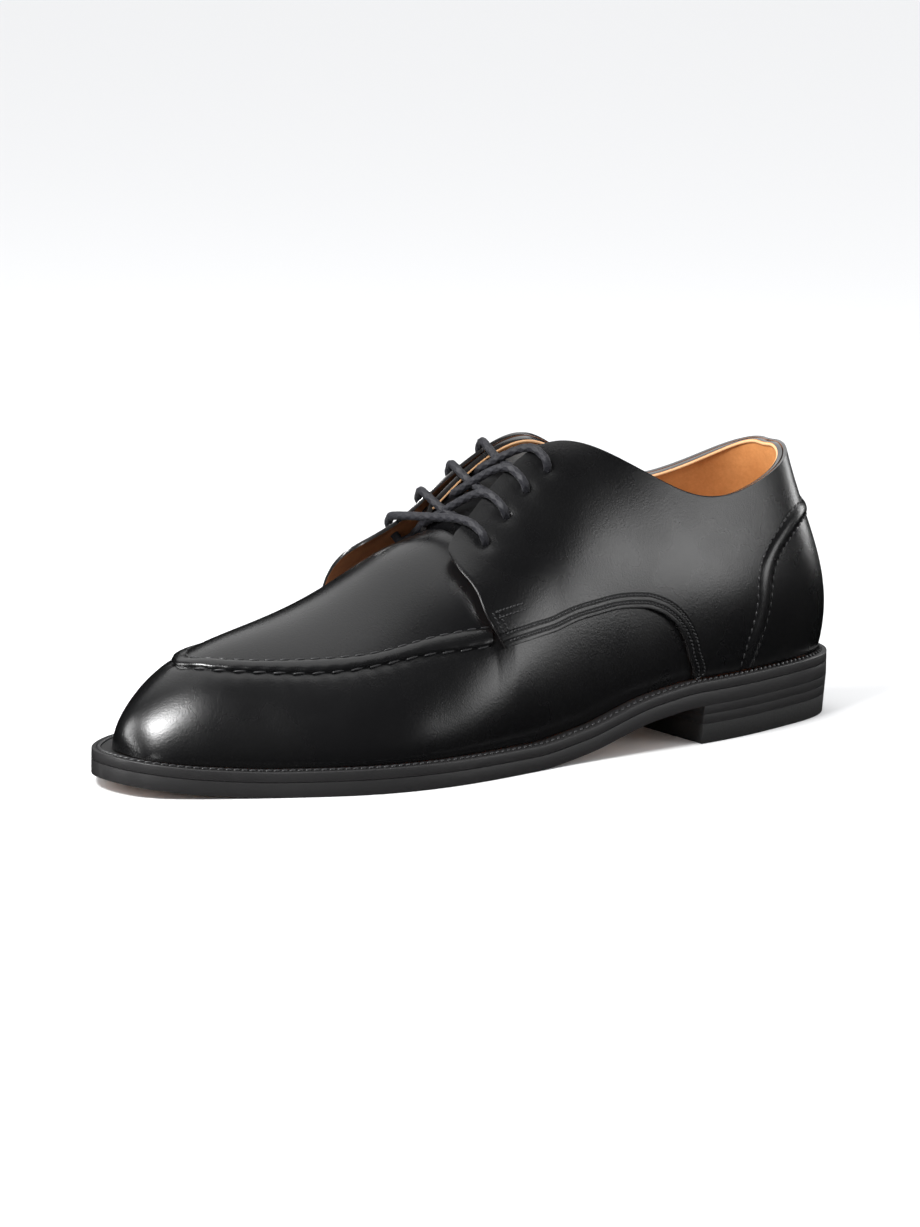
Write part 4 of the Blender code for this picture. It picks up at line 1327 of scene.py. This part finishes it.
def tongueSection(station):
    closed = station >= lastSizes["throatEnd"]
    heights = np.array(tongueLook["heights"]) * (lastSizes["facingShare"] if closed else 1.0)
    depth = -(lastSizes["wall"] + tongueLook["gap"] + tongueLook["thickness"] / 2)
    left = upperPoint(np.full(3, station), heights, lateral, closed, depth)
    right = upperPoint(np.full(3, station), heights, medial, closed, depth)
    if closed:
        top = upperPoint(np.array([station]), np.array([1.0]), medial, True, depth)[0]
    else:
        top = (left[-1] + right[-1]) / 2 + np.array([0.0, 0.0, tongueLook["crown"]])
    known = np.concatenate([left, [top], right[::-1]])
    knots = np.linspace(-3.0, 3.0, 7)
    fine = np.linspace(-3.0, 3.0, 9)
    return np.stack([spline(knots, known[:, axis], fine) for axis in range(3)], -1)


def refine(points, rows, across):  # the same sheet through more points, both ways
    def along(table, count):
        knots = np.arange(len(table), dtype=float)
        fine = np.linspace(0.0, knots[-1], count)
        flat = table.reshape(len(table), -1)
        out = np.stack([spline(knots, flat[:, k], fine) for k in range(flat.shape[1])], -1)
        return out.reshape(count, *table.shape[1:])
    dense = along(points, rows)
    return along(dense.transpose(1, 0, 2), across).transpose(1, 0, 2)


def makeTongue():
    sections = [tongueSection(station) for station in tongueLook["stations"]]
    last = sections[-1]
    middle = last[len(last) // 2]
    for back, up, width in tongueLook["end"]:
        sections.append(middle + (last - middle) * width + np.array([-back, 0.0, up]))
    points = refine(np.array(sections), tongueLook["rows"], tongueLook["across"])
    piece = newPiece("tongue_leather", gridSheet(points), (tongueCalf, lining, edgeInk), "calf",
                     ("tongue",))
    thicken(piece, tongueLook["thickness"], 0.0, None, tongueLook["edge"], inside=1, rim=2)


# Laces

laceLook = {
    "diameter": 3.3,
    "clear": 0.10,
    "lip": 0.985,
    "lipRise": 0.25,
    "arch": 0.75,
    "archShare": 0.55,
    "dive": 0.05,
    "mouth": 0.9,
    "inside": -1.4,
    "edgeStart": 0.22,
    "edgeHeight": 0.960,
    "crossShare": 0.55,
    "taut": 0.5,
    "over": 1.5,
    "under": -1.1,
    "emerge": 2.4,
    "hiddenDepth": 1.5,
    "step": 0.30,
    "sides": 26,
    "braidPeriod": 4.2,
    "braidTurns": 5,
    "braidRise": 0.26,
}


def overQuarter(station, height, side, clear):
    run = lastSizes["flapEnd"] - lastSizes["flapStart"]
    ahead = smoothStep((station - lastSizes["flapStart"]) / run)
    lift = (lastSizes["panelGap"] + lastSizes["panel"] + laceLook["clear"]
            + laceLook["diameter"] / 2 + clear + lastSizes["flapLift"] * ahead)
    return upperPoint(station, height, side, False, lift)


def inHole(row, side, lift):
    return upperPoint(*eyelet(row, side), side, False, lift)


def intoEyelet(row, side):
    # over the facing's edge, low over the leather, and down the hole
    station, height = eyelet(row, side)
    high = laceLook["lip"] + (height - laceLook["lip"]) * laceLook["archShare"]
    hidden = -(lastSizes["wall"] + laceLook["hiddenDepth"])
    return [
        overQuarter(station + 0.004, laceLook["lip"], side, laceLook["lipRise"]),
        overQuarter(station + 0.001, high, side, laceLook["arch"]),
        overQuarter(station, height + 0.014, side, laceLook["dive"]),
        inHole(row, side, laceLook["mouth"]),
        inHole(row, side, laceLook["inside"]),
        upperPoint(station - 0.004, height + 0.020, side, False, hidden),
    ]


def crossOver(row, side, clear):
    # from under the other facing, straight over the gap and this facing, into the eyelet
    start, _ = eyelet(row - 1, -side)
    end, _ = eyelet(row, side)
    hidden = -(lastSizes["wall"] + laceLook["hiddenDepth"])
    near = start + (end - start) * laceLook["edgeStart"]
    landing = intoEyelet(row, side)
    under = upperPoint(near, laceLook["edgeHeight"], -side, False, hidden)
    edge = upperPoint(near, 1.0, -side, False, hidden)
    away = landing[0] - edge
    emerge = edge + away / np.linalg.norm(away) * laceLook["emerge"]
    middle = emerge + (landing[0] - emerge) * laceLook["crossShare"] + np.array([0.0, 0.0, clear])
    return [under, emerge, middle] + landing


def laceStrand(side, clears, withBar):
    # one half of the lace: from the bar's middle up to its top eyelet
    lips = [intoEyelet(0, which)[0] for which in (lateral, medial)]
    middle = (lips[0] + lips[1]) / 2 + np.array([0.0, 0.0, laceLook["taut"]])
    route = []
    if withBar:
        route += intoEyelet(0, -side)[4::-1]
    route += [middle] + intoEyelet(0, side)
    for row in range(1, len(tables["eyelet"]["height"])):
        side = -side
        route += crossOver(row, side, clears[side])
    return np.array(route)


def smoothRoute(route, step):  # even steps along a smooth line, paced by the chords
    pace = np.concatenate([[0.0], np.cumsum(np.linalg.norm(np.diff(route, axis=0), axis=1) ** 0.5)])
    fine = np.linspace(0.0, pace[-1], 4000)
    line = np.stack([spline(pace, route[:, axis], fine) for axis in range(3)], -1)
    length = arcLength(line)
    count = int(length[-1] / step)
    even = np.linspace(0.0, length[-1], count)
    return np.stack([np.interp(even, length, line[:, axis]) for axis in range(3)], -1)


def braidedTube(line):
    # round braid: two sets of strands wound opposite ways, raised on the tube
    run = np.gradient(line, axis=0)
    run /= np.linalg.norm(run, axis=1, keepdims=True)
    across = np.zeros_like(line)
    side = np.cross(run[0], [0.0, 0.0, 1.0])
    for k in range(len(line)):
        side = side - run[k] * (side @ run[k])
        side /= np.linalg.norm(side)
        across[k] = side
    up = np.cross(run, across)
    angle = np.linspace(0.0, 2 * math.pi, laceLook["sides"], endpoint=False)
    along = arcLength(line)[:, None] * 2 * math.pi / laceLook["braidPeriod"]
    turns = laceLook["braidTurns"]
    one = np.cos(turns * angle[None] + along)
    other = np.cos(turns * angle[None] - along)
    weave = np.maximum(one, other) - 0.45
    radius = laceLook["diameter"] / 2 - laceLook["braidRise"] * (1 - np.clip(weave, -0.4, 1.0))
    rings = (line[:, None] + radius[..., None] * (np.cos(angle)[None, :, None] * across[:, None]
                                                  + np.sin(angle)[None, :, None] * up[:, None]))
    return closedRings(rings)


def makeLaces():
    # in every gap the crossing that comes down on the lateral side lies over the other
    clears = {lateral: laceLook["over"], medial: laceLook["under"]}
    for name, side, withBar, replaced in (
            ("lace_medial_end", lateral, True, ("lace_bar", "lace_cross_1", "lace_cross_3")),
            ("lace_lateral_end", medial, False, ("lace_cross_2",))):
        line = smoothRoute(laceStrand(side, clears, withBar), laceLook["step"])
        newPiece(name, braidedTube(line), (laceCotton,), "lace", replaced)
        print(name, "runs", round(arcLength(line)[-1]), "mm")


# Sole

outsoleLook = {"stations": 180, "across": 20, "edge": 0.28, "treadFacing": -0.6}
outlineSteps = 700


def slabRings(stations, inset, low, high, across):  # closer points toward both edges
    shares = (1 - np.cos(np.linspace(0.0, math.pi, across + 1))) / 2
    rings = []
    for station in stations:
        latX, latY = insetEdge(station, lateral, inset(station))
        medX, medY = insetEdge(station, medial, inset(station))
        line = np.stack([latX + (medX - latX) * shares, latY + (medY - latY) * shares], -1)
        floor = np.column_stack([line, low(line[:, 0], shares)])
        roof = np.column_stack([line, high(line[:, 0], shares)])[::-1]
        rings.append(np.concatenate([floor, roof]))
    return np.array(rings)


def outlineLine(distance=0.0):  # right round the sole, in from its edge by the distance
    stations = spread(outlineSteps)
    left = np.stack(insetEdge(stations, lateral, distance), -1)
    right = np.stack(insetEdge(stations, medial, distance), -1)
    return np.concatenate([left, right[::-1]])


def makeOutsole():
    length = lastSizes["soleLength"]

    def low(x, shares):
        return underside(x / length)

    def high(x, shares):
        return underside(x / length) + lastSizes["outsole"]
    rings = slabRings(spread(outsoleLook["stations"]), lambda station: 0.0, low, high,
                      outsoleLook["across"])
    bm = closedRings(rings)
    markEdgeGap(bm)
    piece = newPiece("outsole_leather", bm, (soleEdgeInk, soleLeather), "sole_edge", ("outsole",))
    paintUnderside(piece)
    roundEdges(piece, outsoleLook["edge"])
    applyModifiers(piece)


def markEdgeGap(bm):  # distance of every vertex from the sole's edge, for the ink and the channel
    layer = bm.verts.layers.float.new("edgeGap")
    verts = list(bm.verts)
    places = np.array([v.co for v in verts]) / mm
    places[:, 0] = lastSizes["soleLength"] / 2 - places[:, 0]
    places[:, 1] -= lastSizes["sideShift"]
    gaps = nearest(np.column_stack([places[:, :2], np.zeros(len(verts))]),
                   np.column_stack([outlineLine(), np.zeros(2 * outlineSteps)]))
    for vert, gap in zip(verts, gaps):
        vert[layer] = float(gap)


def paintUnderside(piece):
    for face in piece.data.polygons:
        face.material_index = 1 if face.normal.z < outsoleLook["treadFacing"] else 0


heelLook = {
    "stations": 70,
    "taper": 1.0,
    "height": 14.0,
    "topLift": 7.0,
    "breast": 0.2688,
    "joint": 0.03,
    "tuck": 0.05,
    "edge": 0.07,
    "edgeAngle": 40.0,
}


def heelRings(low, high):  # the upper face never rises past the sole's underside
    stations = spread(heelLook["stations"], 0.0, heelLook["breast"])
    shares = np.linspace(0.0, 1.0, 6)
    rings = []
    for station in stations:
        ring = []
        for height, order in ((low, 1), (high, -1)):
            inset = heelLook["taper"] * (1 - height / heelLook["height"])
            latX, latY = insetEdge(station, lateral, inset)
            medX, medY = insetEdge(station, medial, inset)
            level = height if order > 0 else min(height, float(underside(station)) - heelLook["tuck"])
            for share in shares[::order]:
                ring.append((latX + (medX - latX) * share, latY + (medY - latY) * share, level))
        rings.append(ring)
    return np.array(rings)


def makeHeel():
    lift, top, joint = heelLook["topLift"], heelLook["height"], heelLook["joint"]
    middle = (lift + top) / 2
    for name, low, high, material, slotName, replaced in (
            ("top_lift_rubber", 0.0, lift, liftRubber, "top_lift", ("top_lift",)),
            ("heel_lift_low", lift + joint, middle, soleEdgeInk, "sole_edge", ("heel_stack",)),
            ("heel_lift_high", middle + joint, top, soleEdgeInk, "sole_edge", ())):
        piece = newPiece(name, closedRings(heelRings(low, high)), (material,), slotName, replaced)
        roundEdges(piece, heelLook["edge"], heelLook["edgeAngle"])
        applyModifiers(piece)


weltLook = {"stations": 180, "joint": 0.06, "edge": 0.32, "threadIn": 2.4}
weltThread = {"pitch": 2.7, "fill": 1.15, "width": 1.35, "thick": 1.15, "rise": 0.20,
              "slant": 30.0, "sides": 8}


def makeWelt():
    length = lastSizes["soleLength"]
    rings = []
    half = spread(weltLook["stations"])
    joint = weltLook["joint"]
    for side, stations in ((lateral, half), (medial, half[::-1])):
        reach = lookup(tables["foot"], "inMedial", stations) + lastSizes["weltReach"]
        corners = []
        for share, thickness in ((0.0, 0.0), (0.0, 1.0), (0.25, 1.0), (0.5, 1.0), (1.0, 1.0), (1.0, 0.0)):
            x, y = insetEdge(stations, side, reach * share)
            low = underside(x / length) + lastSizes["outsole"] + joint
            top = low + (lastSizes["welt"] + lastSizes["gap"] - joint) * thickness
            corners.append(np.stack([x, y, top], -1))
        rings.append(np.stack(corners, 1))
    bm = closedRings(np.concatenate(rings))
    piece = newPiece("welt_strip", bm, (soleEdgeInk,), "sole_edge", ("welt",))
    roundEdges(piece, weltLook["edge"])
    applyModifiers(piece)


def sewWelt():
    bm = bmesh.new()
    line = outlineLine(weltLook["threadIn"])
    length = arcLength(line)
    count = round(length[-1] / weltThread["pitch"])
    even = np.linspace(0.0, length[-1], count + 1)
    x = np.interp(even, length, line[:, 0])
    y = np.interp(even, length, line[:, 1])
    z = weltTop(x / lastSizes["soleLength"])
    placed = toMetres(np.stack([x, y, z], -1))
    addStitches(bm, placed, np.tile([0.0, 0.0, 1.0], (count + 1, 1)), weltThread)
    newPiece("welt_stitches", bm, (threadBlack,), "sole_edge")
    print("welt_stitches", count, "stitches")


insoleLook = {"stations": 120, "across": 24, "thickness": 3.9, "cup": 1.3}


def makeInsole():
    length = lastSizes["soleLength"]

    def inset(station):
        reach = float(lookup(tables["foot"], "inMedial", station))
        return reach + lastSizes["weltReach"] + lastSizes["gap"]

    def low(x, shares):
        return underside(x / length) + lastSizes["outsole"] + lastSizes["gap"]

    def high(x, shares):
        cup = insoleLook["cup"] * (2 * shares - 1) ** 4
        return low(x, shares) + insoleLook["thickness"] + cup
    rings = slabRings(spread(insoleLook["stations"]), inset, low, high, insoleLook["across"])
    newPiece("footbed", closedRings(rings), (sockLeather,), "lining", ("insole",))


# The whole shoe, piece by piece

cutter = eyeletCutters()
makeWall(cutter)
makeLiningEdge()
print("wall made")
makeQuarter(lateral, cutter)
makeQuarter(medial, cutter)
bpy.data.objects.remove(cutter, do_unlink=True)
print("quarters made")
makeCounter()
seamBand("apron_seam_band", tables["apron"], ("out", "in"), True, 0.0,
         apronLook, seamCalf, ("apron_seam",))
seamBand("counter_seam_band", tables["counter"], ("low", "up"), False,
         lastSizes["panelGap"] + lastSizes["panel"], counterLook, seamCalf, ("counter_seam",))
print("counter and seams made")
sewApron()
sewQuarter(lateral)
sewQuarter(medial)
sewCounter()
makeTongue()
print("tongue made")
makeLaces()
print("laces made")
makeOutsole()
makeHeel()
makeWelt()
sewWelt()
makeInsole()
print("sole made")


# Floor, light and camera

floorFinish = {"Base Color": (0.70, 0.70, 0.70, 1.0), "Roughness": 0.6, "Specular IOR Level": 0.2}
studioLook = {
    "world": (0.97, 0.98, 1.0),
    "worldStrength": 1.05,
    "sun": {"heading": 134.0, "height": 58.0, "angle": 76.0, "strength": 1.35},
    "lights": (  # heading and height seen from the shoe, distance, aim, size in metres, watts
        ("toeBox", -68.0, 50.0, 1.00, (-0.12, 0.0, 0.03), (0.32, 0.16), 15.0),
        ("sideBox", 44.0, 16.0, 1.00, (0.03, 0.0, 0.04), (0.50, 0.34), 2.2),
        ("heelBox", 96.0, 14.0, 1.00, (0.10, 0.0, 0.05), (0.30, 0.45), 2.0),
        ("edgeBox", -60.0, 4.0, 1.20, (-0.02, -0.04, 0.05), (0.12, 0.06), 0.7),
        ("rimBox", -110.0, 20.0, 1.00, (0.0, 0.0, 0.06), (0.16, 0.60), 5.0),
    ),
}
photoCamera = {
    "width": 920,
    "height": 1227,
    "focalPixels": 5214.4346,
    "place": (-1.04270916, -1.45524585, 0.38064441),  # in metres
    "azimuth": -34.45174538,
    "elevation": 10.56276926,
    "roll": 0.86307973,
    "centre": (550.0, 616.0),  # the shoe's middle in the photograph, brought to the frame's middle
    "sensor": 36.0,
}


def makeFloor():
    bm = bmesh.new()
    bmesh.ops.create_grid(bm, x_segments=24, y_segments=24, size=6.0)
    for vert in bm.verts:
        vert.co.z = -0.0001
    mesh = bpy.data.meshes.new("floor")
    bm.to_mesh(mesh)
    bm.free()
    mesh.materials.append(newMaterial("paleFloor", floorFinish)[0])
    floor = bpy.data.objects.new("floor", mesh)
    floor.visible_glossy = False
    bpy.context.scene.collection.objects.link(floor)


def lookFrom(heading, height):  # unit vector, heading 0 at the lateral side and 90 at the heel
    heading, height = math.radians(heading), math.radians(height)
    return Vector((math.sin(heading) * math.cos(height), -math.cos(heading) * math.cos(height),
                   math.sin(height)))


def addLamp(light, place, away):
    lamp = bpy.data.objects.new(light.name, light)
    lamp.location = place
    lamp.rotation_euler = away.to_track_quat("Z", "Y").to_euler()
    bpy.context.scene.collection.objects.link(lamp)


def makeLights():
    world = bpy.data.worlds.new("studio")
    world.use_nodes = True
    background = world.node_tree.nodes["Background"]
    background.inputs["Color"].default_value = (*studioLook["world"], 1.0)
    background.inputs["Strength"].default_value = studioLook["worldStrength"]
    world.cycles_visibility.glossy = False  # the pale room isn't mirrored in the leather
    bpy.context.scene.world = world
    bpy.context.scene.view_settings.view_transform = "Standard"
    look = studioLook["sun"]
    overhead = bpy.data.lights.new("overhead", "SUN")
    overhead.angle = math.radians(look["angle"])
    overhead.energy = look["strength"]
    away = lookFrom(look["heading"], look["height"])
    addLamp(overhead, away * 2.0, away)
    for name, heading, height, distance, aim, size, watts in studioLook["lights"]:
        light = bpy.data.lights.new(name, "AREA")
        light.shape = "RECTANGLE"
        light.size, light.size_y = size
        light.energy = watts
        away = lookFrom(heading, height)
        addLamp(light, Vector(aim) + away * distance, away)


def makeCamera():
    look = photoCamera
    azimuth, roll = math.radians(look["azimuth"]), math.radians(look["roll"])
    back = lookFrom(look["azimuth"], look["elevation"])
    level = Vector((math.cos(azimuth), math.sin(azimuth), 0.0))
    rise = back.cross(level)
    right = level * math.cos(roll) + rise * math.sin(roll)
    up = rise * math.cos(roll) - level * math.sin(roll)
    sideways = look["centre"][0] - look["width"] / 2
    upward = look["height"] / 2 - look["centre"][1]
    back = (back * look["focalPixels"] - right * sideways - up * upward).normalized()
    right = (right - back * right.dot(back)).normalized()
    up = back.cross(right)
    data = bpy.data.cameras.new("camera")
    data.sensor_width = look["sensor"]
    data.lens = look["focalPixels"] * look["sensor"] / look["height"]
    data.clip_start = 0.05
    camera = bpy.data.objects.new("camera", data)
    turned = Matrix((right, up, back)).transposed().to_4x4()
    camera.matrix_world = Matrix.Translation(look["place"]) @ turned
    bpy.context.scene.collection.objects.link(camera)
    bpy.context.scene.camera = camera


makeFloor()
makeLights()
makeCamera()
print("studio made")
